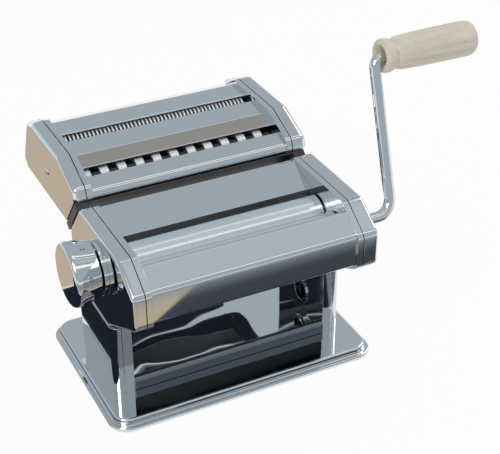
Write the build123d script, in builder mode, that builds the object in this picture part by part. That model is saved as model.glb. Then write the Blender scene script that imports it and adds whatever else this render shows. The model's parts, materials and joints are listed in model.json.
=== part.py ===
"""Hand-cranked pasta roller machine with a slide-on cutter head.

Frame: +Z up, X along the rollers with the crank at +X, the front at -Y,
origin on the table under the middle of the base. Millimetres.
Side profiles are drawn in the YZ plane as (y, z) points.
"""
import os
from math import cos, pi, radians, sin

from build123d import *

os.makedirs("parts", exist_ok=True)

# Fits and clearances
running = 0.03
moving = 0.3
screw_clear = 0.1
shaft_clear = 1.0
same_height = 0.01

# Base tray and feet
base_length = 205.0
base_depth = 137.0
base_corner = 15.0
base_top = 8.5
base_sheet = 1.4
base_round = 2.0
lip_round = 1.0
lip_out = 3.5
lip_height = 3.0
foot_drop = 0.6
foot_length = 24.0
foot_width = 14.0
foot_corner = 4.0
foot_inset = 14.0

# Side frames, as distances from the middle plane
inner_width = 150.0
frame_sheet = 2.0
rim_width = 4.3
rim_wall = 1.5
seam = 0.6
end_depth = 14.0
right_extra = 2.7
cap_wall = 1.6
cap_round = 3.0
cutter_cap_round = 4.5
corner_round = 5.0
head_round = 7.0

# Head profile
head_top = 132.5
head_top_rear = 15.0
head_top_front = -57.0
head_front = -80.5
head_lip_height = 116.5
head_front_bottom = 91.0
head_bottom = 64.0
head_bottom_front = -30.0
rail_tilt = 40.0
chamfer_length = 36.0

# Legs
leg_front = -36.0
leg_rear = 33.0
leg_rear_top = 36.0
leg_rim = 7.0
leg_join = 72.0
leg_cover_gap = 0.2
leg_cover_depth = 6.8
leg_cover_wall = 1.2
leg_cover_round = 6.0
leg_hole_y = -1.7
leg_hole_z = 26.5
leg_hole_radius = 9.0
eyelet_wall = 1.0
eyelet_flange = 2.0

# Ties between the side frames
bar_y = -33.0
bar_depth = 8.0
bar_height = 9.0
bar_chamfer = 2.5
bar_lift = 0.3
tie_radius = 4.0
tie_places = [(-69.0, 97.0), (22.0, 104.0), (0.0, 74.0)]
screw_radius = 2.0
screw_head_radius = 3.0
screw_head_height = 1.4
tie_screw_grip = 6.0
base_screw_y = [-24.0, -2.0, 20.0]

# Covers and blades
cover_sheet = 1.0
cover_bend = 2.5
cover_clear = 1.5
hopper_front = -62.5
hopper_front_z = 129.2
hopper_rear = -14.7
hopper_rear_z = 121.4
hopper_flange = 4.0
hopper_flange_in = 2.4
apron_return = 7.0
rear_cover_back = 10.5
blade_sheet = 0.8
blade_gap = 0.4
front_blade = (9.8, 8.6)
rear_blade = (15.6, 10.4)
rear_cover_return = 8.0
end_screws = {-1: [(-63.0, 116.0), (6.0, 95.0)], 1: [(-71.0, 104.0), (6.0, 95.0)]}

# Rollers and their gears
roller_radius = 13.0
roller_end_gap = 1.0
roller_round = 0.6
axis_z = 107.0
drive_y = -50.0
gap_least = 0.6
gap_travel = 4.2
drive_journal = 6.0
bush_wall = 2.0
bush_flange = 2.0
bush_length = 4.0
rear_journal = 8.0
rear_bore = 5.5
slide_bush_wall = 1.5
gear_start = 79.8
gear_width = 3.5
gear_teeth = 12
gear_root = 10.5
gear_tip = 15.7
tooth_root_half = 1.7
tooth_tip_half = 0.55
tooth_sink = 0.9
clip_width = 1.0
clip_wall = 2.0

# Crank socket and crank
socket_size = 6.2
tang_size = 6.0
tang_end_gap = 1.0
socket_depth = 16.0
socket_end = 88.0
rod_radius = 4.1
crank_lean = 20.0
crank_throw = 111.0
crank_foot_x = 120.5
crank_head_x = 123.5
crank_low_bend = 12.0
crank_high_bend = 7.0
rod_hole_gap = 2.2

# Wooden grip
grip_radius = 12.7
grip_neck = 11.3
grip_end_radius = 12.4
grip_round = 4.5
grip_length = 75.5
grip_bead = 10.0
grip_lip = 9.6
grip_mouth = 12.1
grip_groove = 10.2
mouth_at = 0.35
swell_at = 0.6
neck_run = 4.0
plug_lip = 0.3
groove_in = (0.3, -1)
groove_out = (0.4, 1)
end_slope = (1, -0.03)
mouth_radius = 8.0
mouth_depth = 8.0
grip_running = 0.06
grip_pin_end = 7.0
ring_wall = 2.4
ring_width = 1.5
plug_radius = 7.5
plug_depth = 6.0

# Carriage and adjuster
tongue_half_y = 11.5
tongue_half_z = 11.0
slide_half_z = 13.0
slide_plate_gap = 0.3
slide_plate = 2.0
slide_clear = 0.15
spacer_depth = 4.0
spacer_half_z = 8.0
yoke_start = 84.0
yoke_plate = 1.5
yoke_wall = 3.5
nose_length = 1.5
nose_half = 1.0
cam_least = 4.5
cam_turn = 270
cam_dwell = 30
cam_return = 340
cam_step = 5
cam_gap = 0.3
shaft_radius = 3.0
bracket_gap = 0.4
bracket_plate = 1.2
bracket_half = 5.0
post_radius = 2.5
post_reach = 20.0

# Knob
collar_radius = 19.4
collar_length = 3.2
knob_gap = 1.5
knob_base_radius = 20.0
knob_face_radius = 23.5
knob_length = 19.3
knob_round = 4.0
knob_web = 2.3
knob_cap_depth = 2.0
knob_cap_radius = 17.0
knob_step = 2.0
knob_edge = 1.0
knob_cap_gap = 1.0
nut_length = 1.5
nut_radius = 6.5
spring_wire = 0.9
spring_radius = 5.0
spring_turns = 4
spring_length = 5.4
index_radius = 14.0
index_count = 12
dimple_radius = 1.6
dimple_depth = 0.8
plunger_radius = 1.5
plunger_length = 4.8

# Cutter head profile
cutter_bottom = 104.0
cutter_front_foot = 46.5
cutter_front_top = 132.8
cutter_lip_y = 25.0
cutter_lip_z = 141.5
cutter_top = 153.5
cutter_top_front = 55.0
cutter_top_rear = 112.0
cutter_shoulder_y = 127.0
cutter_shoulder_z = 148.0
cutter_back = 143.0
cutter_back_z = 113.0
cutter_back_foot = 134.0
cutter_back_return = 12.0
cutter_front_return = 10.0
fine_slot_front = 80.0
fine_slot_rear = 91.5
wide_slot_front = 38.0
wide_slot_rear = 51.5
ridge_y = 59.5
ridge_drop = 1.4
wide_edge_drop = 8.4
slot_flange = 3.2
slot_lip = 1.2
fine_flange = 1.4
cover_drop = 0.6
cover_sink = 3.6
cutter_bend = 1.2
cutter_front_bend = 1.5
cutter_tie_radius = 3.0
cutter_tie_places = [(112.0, 118.0), (68.0, 114.0)]
cutter_screw_place = {-1: (80.0, 129.0), 1: (81.5, 126.0)}

# Cutter rollers
fine_y = 85.5
fine_z = 140.0
wide_y = 45.0
wide_z = 131.3
cutter_spread = 15.0
disc_radius = 8.0
groove_radius = 6.0
fine_pitch = 3.0
fine_disc = 1.2
fine_count = 49
wide_pitch = 13.4
wide_disc = 6.2
wide_count = 11
cutter_journal = 4.0
cutter_bush_wall = 1.5
cutter_gear_root = 6.1
cutter_gear_tip = 8.6
cutter_gear_teeth = 10
cutter_tooth_root = 1.0
cutter_tooth_tip = 0.38
hub_radius = 5.6
comb_sheet = 1.0
comb_back = 3.0
comb_shift = 3.0
comb_reach = 2.4
comb_gap = 0.4
comb_side_gap = 0.4
divider_y = 63.5
divider_bottom = 108.0
divider_top = 136.0

# Rails and guides between the machine and the cutter head
rail_width = 4.0
rail_thickness = 3.6
rail_from = 9.0
rail_to = 35.0
guide_from = 6.0
guide_to = 41.0
guide_web = 1.0
guide_web_gap = 0.2

# Worked out from the sizes above
half_width = inner_width / 2
frame_out = half_width + frame_sheet
rim_out = half_width + rim_width
cap_in = rim_out + seam
cap_out = half_width + end_depth
cap_outs = {-1: cap_out, 1: cap_out + right_extra}
lip_bend = head_round - cover_clear
leg_out = frame_out - frame_sheet + leg_rim
leg_cover_in = leg_out + leg_cover_gap
leg_top = head_bottom - leg_cover_gap
rear_y = drive_y + 2 * roller_radius + gap_least
adjust_y = rear_y + gap_travel / 2
cam_most = cam_least + gap_travel
gear_end = gear_start + gear_width
roller_end = half_width - roller_end_gap
slide_in = frame_out + slide_plate_gap
slide_out = slide_in + slide_plate
yoke_end = yoke_start + yoke_plate
bracket_in = yoke_end + bracket_gap
bracket_out = bracket_in + bracket_plate
collar_out = cap_out + collar_length
knob_in = collar_out + knob_gap
knob_out = knob_in + knob_length
tilt = radians(rail_tilt)
rail_down = (sin(tilt), -cos(tilt))
rail_out = (cos(tilt), sin(tilt))
chamfer_foot = (head_top_rear + chamfer_length * rail_down[0],
                head_top + chamfer_length * rail_down[1])
guide_depth = ((cutter_front_foot - head_top_rear) * rail_out[0]
               + (cutter_bottom - head_top) * rail_out[1])
cutter_front_y = cutter_front_foot - (cutter_front_top - cutter_bottom) * rail_down[0] / -rail_down[1]

head_points = [
    (chamfer_foot[0], head_bottom),
    chamfer_foot,
    (head_top_rear, head_top),
    (head_top_front, head_top),
    (head_front, head_lip_height),
    (head_front, head_front_bottom),
    (head_bottom_front, head_bottom),
]
leg_points = [
    (leg_front, base_top),
    (leg_rear, base_top),
    (leg_rear_top, leg_top),
    (leg_front, leg_top),
]
leg_join_points = [
    (leg_front, base_top),
    (leg_rear, base_top),
    (leg_rear_top, leg_join),
    (leg_front, leg_join),
]
cutter_points = [
    (cutter_front_foot, cutter_bottom),
    (cutter_back_foot, cutter_bottom),
    (cutter_back, cutter_back_z),
    (cutter_shoulder_y, cutter_shoulder_z),
    (cutter_top_rear, cutter_top),
    (cutter_top_front, cutter_top),
    (cutter_lip_y, cutter_lip_z),
    (cutter_front_y, cutter_front_top),
]
fine_front = (fine_y - cutter_spread / 2, fine_z)
fine_rear = (fine_y + cutter_spread / 2, fine_z)
wide_front = (wide_y - cutter_spread / 2, wide_z)
wide_rear = (wide_y + cutter_spread / 2, wide_z)
wide_shift = wide_pitch / 4
cutter_axes = [fine_front, fine_rear, wide_front, wide_rear]


def keep(piece, name):
    """Label a finished piece and write its file."""
    piece.part.label = name
    export_step(piece.part, f"parts/{name}.step")


def rounded_face(points, radius):
    """A face with the given corners, each rounded."""
    with BuildSketch() as face:
        with BuildLine():
            FilletPolyline(*points, radius=radius, close=True)
        make_face()
    return face.sketch


def inset_face(points, radius, inset):
    """The same face, drawn in by an even inset."""
    with BuildSketch() as face:
        add(rounded_face(points, radius))
        offset(amount=-inset, mode=Mode.REPLACE)
    return face.sketch


def sheet_face(path, bend, thickness, side=Side.LEFT):
    """The edge-on face of a bent sheet that follows a path."""
    with BuildSketch() as face:
        with BuildLine():
            FilletPolyline(*path, radius=bend)
            offset(amount=thickness, side=side)
        make_face()
    return face.sketch


def gear_face(teeth, root, tip, root_half, tip_half, first_angle):
    """A spur gear with straight-sided teeth, one tooth at the first angle."""
    with BuildSketch() as face:
        Circle(root)
        with PolarLocations(0, teeth, start_angle=first_angle):
            Polygon((root * tooth_sink, -root_half), (tip, -tip_half), (tip, tip_half),
                    (root * tooth_sink, root_half), align=None)
    return face.sketch


def tube(x_from, x_to, outer, inner, y, z):
    """A plain tube or rod along X."""
    with BuildPart() as piece:
        with BuildSketch(Plane.YZ.offset(x_from)):
            with Locations((y, z)):
                Circle(outer)
                if inner:
                    Circle(inner, mode=Mode.SUBTRACT)
        extrude(amount=x_to - x_from)
    return piece.part


def shell_end(points, radius, x_in, x_out, wall, round_edge):
    """A drawn sheet cap, open towards the middle, with its outer edges rounded."""
    side = 1 if x_out > 0 else -1
    depth = x_out - x_in
    with BuildPart() as piece:
        with BuildSketch(Plane.YZ.offset(x_in)):
            add(rounded_face(points, radius))
        extrude(amount=depth)
        fillet(piece.faces().sort_by(Axis.X)[-1 if side > 0 else 0].edges(), round_edge)
        with BuildSketch(Plane.YZ.offset(x_in)):
            add(inset_face(points, radius, wall))
        extrude(amount=depth - side * wall, mode=Mode.SUBTRACT)
    return piece.part


def cheek_plate(side, points, radius):
    """A side plate with a turned rim that follows its outline."""
    with BuildPart() as piece:
        with BuildSketch(Plane.YZ.offset(side * half_width)):
            add(rounded_face(points, radius))
        extrude(amount=side * rim_width)
        with BuildSketch(Plane.YZ.offset(side * frame_out)):
            add(inset_face(points, radius, rim_wall))
        extrude(amount=side * (rim_width - frame_sheet), mode=Mode.SUBTRACT)
    return piece.part


def screw(x_face, side, length, y, z):
    """A pan-head screw along X, its head outside the face."""
    with BuildPart() as piece:
        with BuildSketch(Plane.YZ.offset(x_face)):
            with Locations((y, z)):
                Circle(screw_head_radius)
        extrude(amount=side * screw_head_height)
        fillet(piece.faces().sort_by(Axis.X)[-1 if side > 0 else 0].edges(), screw_head_height / 2)
        with BuildSketch(Plane.YZ.offset(x_face)):
            with Locations((y, z)):
                Circle(screw_radius)
        extrude(amount=-side * length)
    return piece.part


# Base tray with a stepped rim, hollow below
screw_x = (frame_out + leg_out) / 2
with BuildPart() as base_plate:
    with BuildSketch(Plane.XY.offset(foot_drop)):
        RectangleRounded(base_length, base_depth, base_corner)
    extrude(amount=lip_height)
    with BuildSketch(Plane.XY.offset(foot_drop + lip_height)):
        RectangleRounded(base_length - 2 * lip_out, base_depth - 2 * lip_out, base_corner - lip_out)
    extrude(amount=base_top - foot_drop - lip_height)
    fillet(base_plate.faces().sort_by(Axis.Z)[-1].edges(), base_round)
    step = base_plate.edges().filter_by(lambda e: abs(e.center().Z - foot_drop - lip_height) < same_height)
    fillet(step.sort_by(SortBy.LENGTH)[-8:], lip_round)
    hollow = lip_out + base_sheet
    with BuildSketch(Plane.XY.offset(foot_drop)):
        RectangleRounded(base_length - 2 * hollow, base_depth - 2 * hollow, base_corner - hollow)
    extrude(amount=base_top - base_sheet - foot_drop, mode=Mode.SUBTRACT)
    with BuildSketch(Plane.XY.offset(base_top)):
        with Locations(*[(side * screw_x, y) for side in (-1, 1) for y in base_screw_y]):
            Circle(screw_radius + screw_clear)
    extrude(amount=-base_sheet, mode=Mode.SUBTRACT)
keep(base_plate, "base_plate")

with BuildPart() as rubber_feet:
    foot_x = base_length - 2 * (hollow + foot_inset)
    foot_y = base_depth - 2 * (hollow + foot_inset)
    with BuildSketch():
        with GridLocations(foot_x, foot_y, 2, 2):
            RectangleRounded(foot_length, foot_width, foot_corner)
        RectangleRounded(foot_length, foot_width, foot_corner)
    extrude(amount=base_top - base_sheet)
keep(rubber_feet, "rubber_feet")

with BuildPart() as base_screws:
    under = base_top - base_sheet
    places = [(side * screw_x, y) for side in (-1, 1) for y in base_screw_y]
    with BuildSketch(Plane.XY.offset(under)):
        with Locations(*places):
            Circle(screw_head_radius)
    extrude(amount=-screw_head_height)
    with BuildSketch(Plane.XY.offset(under)):
        with Locations(*places):
            Circle(screw_radius)
    extrude(amount=base_sheet + rim_wall + screw_radius)
keep(base_screws, "base_screws")


# Side frames: head plate with a rim, and a leg with turned flanges
def side_frame(side):
    with BuildPart() as piece:
        add(cheek_plate(side, head_points, head_round))
        with BuildSketch(Plane.YZ.offset(side * half_width)):
            Polygon(*leg_join_points, align=None)
        extrude(amount=side * frame_sheet)
        with BuildSketch(Plane.YZ.offset(side * half_width)):
            Polygon(*leg_points, align=None)
            offset(amount=-rim_wall, mode=Mode.SUBTRACT)
        extrude(amount=side * leg_rim)
        with BuildSketch(Plane.YZ.offset(side * half_width)):
            with Locations((leg_hole_y, leg_hole_z)):
                Circle(leg_hole_radius)
            with Locations((drive_y, axis_z)):
                Circle(drive_journal + running + bush_wall)
            with Locations((rear_y + gap_travel / 2, axis_z)):
                Rectangle(2 * (tongue_half_y + moving) + gap_travel, 2 * (tongue_half_z + slide_clear))
            with Locations(*(tie_places + end_screws[side])):
                Circle(screw_radius + screw_clear)
        extrude(amount=side * frame_sheet, mode=Mode.SUBTRACT)
        with BuildSketch(Plane.XY.offset(base_top)):
            with Locations(*[(side * screw_x, y) for y in base_screw_y]):
                Circle(screw_radius + screw_clear)
        extrude(amount=rim_wall, mode=Mode.SUBTRACT)
    return piece


keep(side_frame(-1), "left_side_frame")
keep(side_frame(1), "right_side_frame")

with BuildPart() as clamp_eyelets:
    for side in (-1, 1):
        eyelet_in = side * (half_width - eyelet_wall)
        with BuildSketch(Plane.YZ.offset(eyelet_in)):
            with Locations((leg_hole_y, leg_hole_z)):
                Circle(leg_hole_radius)
        extrude(amount=side * (eyelet_wall + frame_sheet))
        with BuildSketch(Plane.YZ.offset(eyelet_in)):
            with Locations((leg_hole_y, leg_hole_z)):
                Circle(leg_hole_radius + eyelet_flange)
        extrude(amount=side * eyelet_wall)
        with BuildSketch(Plane.YZ.offset(eyelet_in)):
            with Locations((leg_hole_y, leg_hole_z)):
                Circle(leg_hole_radius - eyelet_wall)
        extrude(amount=side * (eyelet_wall + frame_sheet), mode=Mode.SUBTRACT)
keep(clamp_eyelets, "clamp_eyelets")


def leg_block(side, inset, depth, round_edge):
    """A block over the leg with its two upright outer edges rounded."""
    with BuildPart() as piece:
        with BuildSketch(Plane.YZ.offset(side * leg_cover_in)):
            Polygon(*leg_points, align=None)
            if inset:
                offset(amount=-inset, mode=Mode.REPLACE)
        extrude(amount=side * depth)
        outer = piece.faces().sort_by(Axis.X)[-1 if side > 0 else 0]
        fillet(outer.edges().filter_by(Axis.Y, reverse=True), round_edge)
    return piece.part


def leg_cover(side):
    with BuildPart() as piece:
        add(leg_block(side, 0, leg_cover_depth, leg_cover_round))
        hollow_depth = leg_cover_depth - leg_cover_wall
        hollow_round = leg_cover_round - leg_cover_wall
        add(leg_block(side, leg_cover_wall, hollow_depth, hollow_round), mode=Mode.SUBTRACT)
    return piece


keep(leg_cover(-1), "left_leg_cover")
keep(leg_cover(1), "right_leg_cover")

# Ties between the side frames
with BuildPart() as lower_tie_bar:
    with BuildSketch(Plane.YZ.offset(-half_width)):
        with Locations((bar_y, base_top + bar_lift + bar_height / 2)):
            Rectangle(bar_depth, bar_height)
    extrude(amount=inner_width)
    chamfer(lower_tie_bar.edges().filter_by(Axis.X).group_by(Axis.Z)[-1], bar_chamfer)
keep(lower_tie_bar, "lower_tie_bar")

with BuildPart() as tie_rods:
    for y, z in tie_places:
        add(tube(-half_width, half_width, tie_radius, 0, y, z))
    with BuildSketch(Plane.YZ.offset(-half_width)):
        with Locations(*tie_places):
            Circle(screw_radius + screw_clear)
    extrude(amount=2 * half_width, mode=Mode.SUBTRACT)
keep(tie_rods, "tie_rods")

with BuildPart() as tie_rod_screws:
    for side in (-1, 1):
        for y, z in tie_places:
            add(screw(side * frame_out, side, frame_sheet + tie_screw_grip, y, z))
keep(tie_rod_screws, "tie_rod_screws")

# Covers around the hopper, and the blades below the rollers
front_cover_path = [
    (hopper_front + hopper_flange_in, hopper_front_z - hopper_flange),
    (hopper_front, hopper_front_z),
    (head_front + cover_clear, head_lip_height),
    (head_front + cover_clear, head_front_bottom + cover_clear),
    (head_front + cover_clear + apron_return, head_front_bottom + cover_clear),
]
with BuildPart() as front_cover:
    with BuildSketch(Plane.YZ.offset(-half_width)):
        add(sheet_face(front_cover_path, [cover_bend, lip_bend, cover_bend], cover_sheet))
    extrude(amount=inner_width)
keep(front_cover, "front_cover")

rear_wall = chamfer_foot[0] - cover_clear
rear_ridge = head_top_rear - cover_clear * (1 - rail_out[1]) / rail_out[0]
rear_knee = chamfer_foot[1] - cover_clear * (1 - rail_out[0]) / rail_out[1]
rear_cover_path = [
    (hopper_rear, hopper_rear_z),
    (rear_cover_back, head_top - cover_clear),
    (rear_ridge, head_top - cover_clear),
    (rear_wall, rear_knee),
    (rear_wall, head_bottom + cover_clear),
    (rear_wall - rear_cover_return, head_bottom + cover_clear),
]
with BuildPart() as rear_cover:
    with BuildSketch(Plane.YZ.offset(-half_width)):
        add(sheet_face(rear_cover_path, cover_bend, cover_sheet, Side.RIGHT))
    extrude(amount=inner_width)
keep(rear_cover, "rear_cover")

blade_r = roller_radius + blade_gap
front_tip = (drive_y - blade_r * sin(pi / 4), axis_z - blade_r * cos(pi / 4))
front_root = (front_tip[0] - front_blade[0], front_tip[1] - front_blade[1])
rear_tip = (adjust_y, axis_z - blade_r)
rear_root = (rear_tip[0] + rear_blade[0], rear_tip[1] - rear_blade[1])
with BuildPart() as roller_scrapers:
    with BuildSketch(Plane.YZ.offset(-half_width)):
        Polygon(front_tip, front_root, (front_root[0] + blade_sheet, front_root[1] - blade_sheet),
                (front_tip[0], front_tip[1] - blade_sheet), align=None)
        Polygon(rear_tip, rear_root, (rear_root[0] - blade_sheet, rear_root[1] - blade_sheet),
                (rear_tip[0] - blade_sheet, rear_tip[1] - blade_sheet), align=None)
    extrude(amount=inner_width)
keep(roller_scrapers, "roller_scrapers")


# End covers: drawn shells over the gears and the adjuster
def end_cover(side):
    with BuildPart() as piece:
        add(shell_end(head_points, head_round, side * cap_in, side * cap_outs[side], cap_wall, cap_round))
        with BuildSketch(Plane.YZ.offset(side * (cap_outs[side] - cap_wall))):
            with Locations(*end_screws[side]):
                Circle(screw_radius + screw_clear)
            if side > 0:
                with Locations((drive_y, axis_z)):
                    Circle(rod_radius + rod_hole_gap)
            else:
                with Locations((adjust_y, axis_z)):
                    Circle(shaft_radius + shaft_clear)
                with Locations((adjust_y, axis_z + index_radius)):
                    Circle(plunger_radius + moving)
        extrude(amount=side * cap_wall, mode=Mode.SUBTRACT)
    return piece


keep(end_cover(-1), "left_end_cover")
keep(end_cover(1), "right_end_cover")

with BuildPart() as end_cover_screws:
    for side in (-1, 1):
        for y, z in end_screws[side]:
            add(screw(side * cap_outs[side], side, cap_outs[side] - half_width, y, z))
keep(end_cover_screws, "end_cover_screws")


# Drive roller, its bushes and its gear
with BuildPart() as drive_bushes:
    outer = drive_journal + running + bush_wall
    for side in (-1, 1):
        add(tube(side * half_width, side * (half_width + bush_length), outer, 0, drive_y, axis_z))
        add(tube(side * frame_out, side * (frame_out + bush_wall / 2), outer + bush_flange, 0,
                 drive_y, axis_z))
        with BuildSketch(Plane.YZ.offset(side * half_width)):
            with Locations((drive_y, axis_z)):
                Circle(drive_journal + running)
        extrude(amount=side * bush_length, mode=Mode.SUBTRACT)
keep(drive_bushes, "drive_bushes")

with BuildPart() as front_roller:
    add(tube(-roller_end, roller_end, roller_radius, 0, drive_y, axis_z))
    fillet(front_roller.edges().filter_by(GeomType.CIRCLE), roller_round)
    add(tube(-half_width - bush_length, socket_end, drive_journal, 0, drive_y, axis_z))
    with BuildSketch(Plane.YZ.offset(socket_end)):
        with Locations((drive_y, axis_z)):
            Rectangle(socket_size, socket_size, rotation=-crank_lean)
    extrude(amount=-socket_depth, mode=Mode.SUBTRACT)
keep(front_roller, "front_roller")


def roller_gear(y, bore, first_angle):
    with BuildPart() as piece:
        with BuildSketch(Plane.YZ.offset(gear_start)):
            with Locations((y, axis_z)):
                add(gear_face(gear_teeth, gear_root, gear_tip, tooth_root_half, tooth_tip_half, first_angle))
                Circle(bore, mode=Mode.SUBTRACT)
        extrude(amount=gear_width)
    return piece


keep(roller_gear(drive_y, drive_journal, 0), "drive_gear")
keep(roller_gear(rear_y, rear_journal, 180 + 180 / gear_teeth), "rear_gear")

with BuildPart() as drive_clip:
    add(tube(gear_end, gear_end + clip_width, drive_journal + clip_wall, drive_journal, drive_y, axis_z))
keep(drive_clip, "drive_clip")

# Rear roller: hollow, so that the adjuster shaft passes through it
with BuildPart() as rear_roller:
    add(tube(-roller_end, roller_end, roller_radius, 0, rear_y, axis_z))
    fillet(rear_roller.edges().filter_by(GeomType.CIRCLE), roller_round)
    add(tube(-slide_out - moving, gear_end, rear_journal, 0, rear_y, axis_z))
    with BuildSketch(Plane.YZ.offset(-slide_out - moving)):
        with Locations((rear_y, axis_z)):
            Circle(rear_bore)
    extrude(amount=slide_out + moving + gear_end, mode=Mode.SUBTRACT)
keep(rear_roller, "rear_roller")

# Bearing slides: a tongue in the frame's window, and a yoke around the cam
nose_y = adjust_y - cam_most - cam_gap
yoke_front = nose_y - nose_length - yoke_wall
yoke_rear = adjust_y + cam_most + cam_gap + nose_length
yoke_half = cam_most + cam_gap + nose_length
spacer_front = rear_y + gear_tip + moving
slide_rear = spacer_front + spacer_depth
bush_seat = rear_journal + running + slide_bush_wall


def bearing_slide(side):
    with BuildPart() as piece:
        with BuildSketch(Plane.YZ.offset(side * half_width)):
            with Locations((rear_y, axis_z)):
                Rectangle(2 * tongue_half_y, 2 * tongue_half_z)
        extrude(amount=side * (slide_in - half_width))
        plate_front = rear_y - slide_half_z
        with BuildSketch(Plane.YZ.offset(side * slide_in)):
            with Locations(((plate_front + slide_rear) / 2, axis_z)):
                Rectangle(slide_rear - plate_front, 2 * slide_half_z)
        extrude(amount=side * slide_plate)
        with BuildSketch(Plane.YZ.offset(side * slide_out)):
            with Locations(((spacer_front + slide_rear) / 2, axis_z)):
                Rectangle(spacer_depth, 2 * spacer_half_z)
        extrude(amount=side * (yoke_start - slide_out))
        with BuildSketch(Plane.YZ.offset(side * yoke_start)):
            with Locations(((yoke_front + slide_rear) / 2, axis_z)):
                Rectangle(slide_rear - yoke_front, 2 * (yoke_half + yoke_wall))
            with Locations(((nose_y - nose_length + yoke_rear) / 2, axis_z)):
                Rectangle(yoke_rear - nose_y + nose_length, 2 * yoke_half, mode=Mode.SUBTRACT)
            with Locations((nose_y - nose_length / 2, axis_z)):
                Rectangle(nose_length, 2 * nose_half)
        extrude(amount=side * yoke_plate)
        with BuildSketch(Plane.YZ.offset(side * half_width)):
            with Locations((rear_y, axis_z)):
                Circle(bush_seat)
        extrude(amount=side * (slide_out - half_width), mode=Mode.SUBTRACT)
    return piece


keep(bearing_slide(-1), "left_bearing_slide")
keep(bearing_slide(1), "right_bearing_slide")

with BuildPart() as slide_bushes:
    for side in (-1, 1):
        add(tube(side * half_width, side * slide_out, bush_seat, rear_journal + running, rear_y, axis_z))
keep(slide_bushes, "slide_bushes")

# Adjuster: a shaft through the rear roller, with a snail cam at each end
shaft_left = -(knob_out - knob_cap_depth - knob_cap_gap)
nut_at = -shaft_left - nut_length
with BuildPart() as adjuster_shaft:
    add(tube(shaft_left, bracket_out, shaft_radius, 0, adjust_y, axis_z))
keep(adjuster_shaft, "adjuster_shaft")


def cam_point(turn):
    """Point of the snail where it meets the nose after the given turn in degrees."""
    if turn <= cam_turn:
        radius = cam_most - gap_travel * turn / cam_turn
    elif turn <= cam_turn + cam_dwell:
        radius = cam_least
    elif turn < cam_return:
        radius = cam_least + gap_travel * (turn - cam_turn - cam_dwell) / (cam_return - cam_turn - cam_dwell)
    else:
        radius = cam_most
    angle = pi - radians(turn)
    return (adjust_y + radius * cos(angle), axis_z + radius * sin(angle))


with BuildPart() as adjuster_cams:
    for side in (-1, 1):
        with BuildSketch(Plane.YZ.offset(side * yoke_start)):
            with BuildLine():
                Polyline(*[cam_point(turn) for turn in range(0, 360, cam_step)], close=True)
            make_face()
            with Locations((adjust_y, axis_z)):
                Circle(shaft_radius, mode=Mode.SUBTRACT)
        extrude(amount=side * yoke_plate)
keep(adjuster_cams, "adjuster_cams")


with BuildPart() as adjuster_brackets:
    for side in (-1, 1):
        with BuildSketch(Plane.YZ.offset(side * bracket_in)):
            with Locations((adjust_y, axis_z)):
                RectangleRounded(2 * bracket_half, 2 * (post_reach + post_radius), post_radius)
                Circle(shaft_radius + running, mode=Mode.SUBTRACT)
        extrude(amount=side * bracket_plate)
        with BuildSketch(Plane.YZ.offset(side * frame_out)):
            with Locations((adjust_y, axis_z - post_reach), (adjust_y, axis_z + post_reach)):
                Circle(post_radius)
        extrude(amount=side * (bracket_in - frame_out))
keep(adjuster_brackets, "adjuster_brackets")

# Knob: a tapered drum that is pulled out against a spring and turned
with BuildPart() as knob_collar:
    add(tube(-collar_out, -cap_out, collar_radius, shaft_radius + shaft_clear, adjust_y, axis_z))
    with BuildSketch(Plane.YZ.offset(-collar_out)):
        with Locations((adjust_y, axis_z + index_radius)):
            Circle(plunger_radius + running)
    extrude(amount=collar_length, mode=Mode.SUBTRACT)
keep(knob_collar, "knob_collar")

with BuildPart() as index_plunger:
    tip = -(knob_in - moving)
    add(tube(tip, tip + plunger_length, plunger_radius, 0, adjust_y, axis_z + index_radius))
keep(index_plunger, "index_plunger")

knob_hollow = knob_cap_radius - knob_step
knob_bore = shaft_radius + 2 * running
with BuildPart() as thickness_knob:
    with BuildSketch(Plane.XY):
        with BuildLine():
            Polyline(
                (-knob_in, knob_bore), (-knob_in, knob_base_radius),
                (-knob_out, knob_face_radius), (-knob_out, knob_cap_radius),
                (-knob_out + knob_cap_depth, knob_cap_radius), (-knob_out + knob_cap_depth, knob_hollow),
                (-knob_in - knob_web, knob_hollow), (-knob_in - knob_web, knob_bore), close=True,
            )
        make_face()
    revolve(axis=Axis.X)
    rims = thickness_knob.edges().filter_by(GeomType.CIRCLE).sort_by(SortBy.RADIUS)
    fillet(rims[-1:], knob_round)
    inner_rims = thickness_knob.edges().filter_by(GeomType.CIRCLE).group_by(Axis.X)[-1]
    fillet(inner_rims.sort_by(SortBy.RADIUS)[-1:], knob_edge)
thickness_knob.part.position = (0, adjust_y, axis_z)
with BuildPart() as knob_drum:
    add(thickness_knob.part)
    with BuildSketch(Plane.YZ.offset(-knob_in)):
        with Locations((adjust_y, axis_z)):
            with PolarLocations(index_radius, index_count, start_angle=90):
                Circle(dimple_radius)
    extrude(amount=-dimple_depth, mode=Mode.SUBTRACT)
keep(knob_drum, "thickness_knob")

with BuildPart() as knob_cap:
    add(tube(-knob_out, -knob_out + knob_cap_depth, knob_cap_radius, 0, adjust_y, axis_z))
keep(knob_cap, "knob_cap")

with BuildPart() as knob_nut:
    add(tube(-nut_at - nut_length, -nut_at, nut_radius, shaft_radius, adjust_y, axis_z))
keep(knob_nut, "knob_nut")

with BuildPart() as knob_spring:
    coil = spring_length - spring_wire
    with BuildLine() as coil_path:
        Helix(pitch=coil / spring_turns, height=coil, radius=spring_radius,
              center=(-nut_at + moving + spring_wire / 2, adjust_y, axis_z), direction=(1, 0, 0))
    with BuildSketch(Plane(origin=coil_path.line @ 0, z_dir=coil_path.line % 0)):
        Circle(spring_wire / 2)
    sweep(path=coil_path.line)
keep(knob_spring, "knob_spring")

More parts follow.
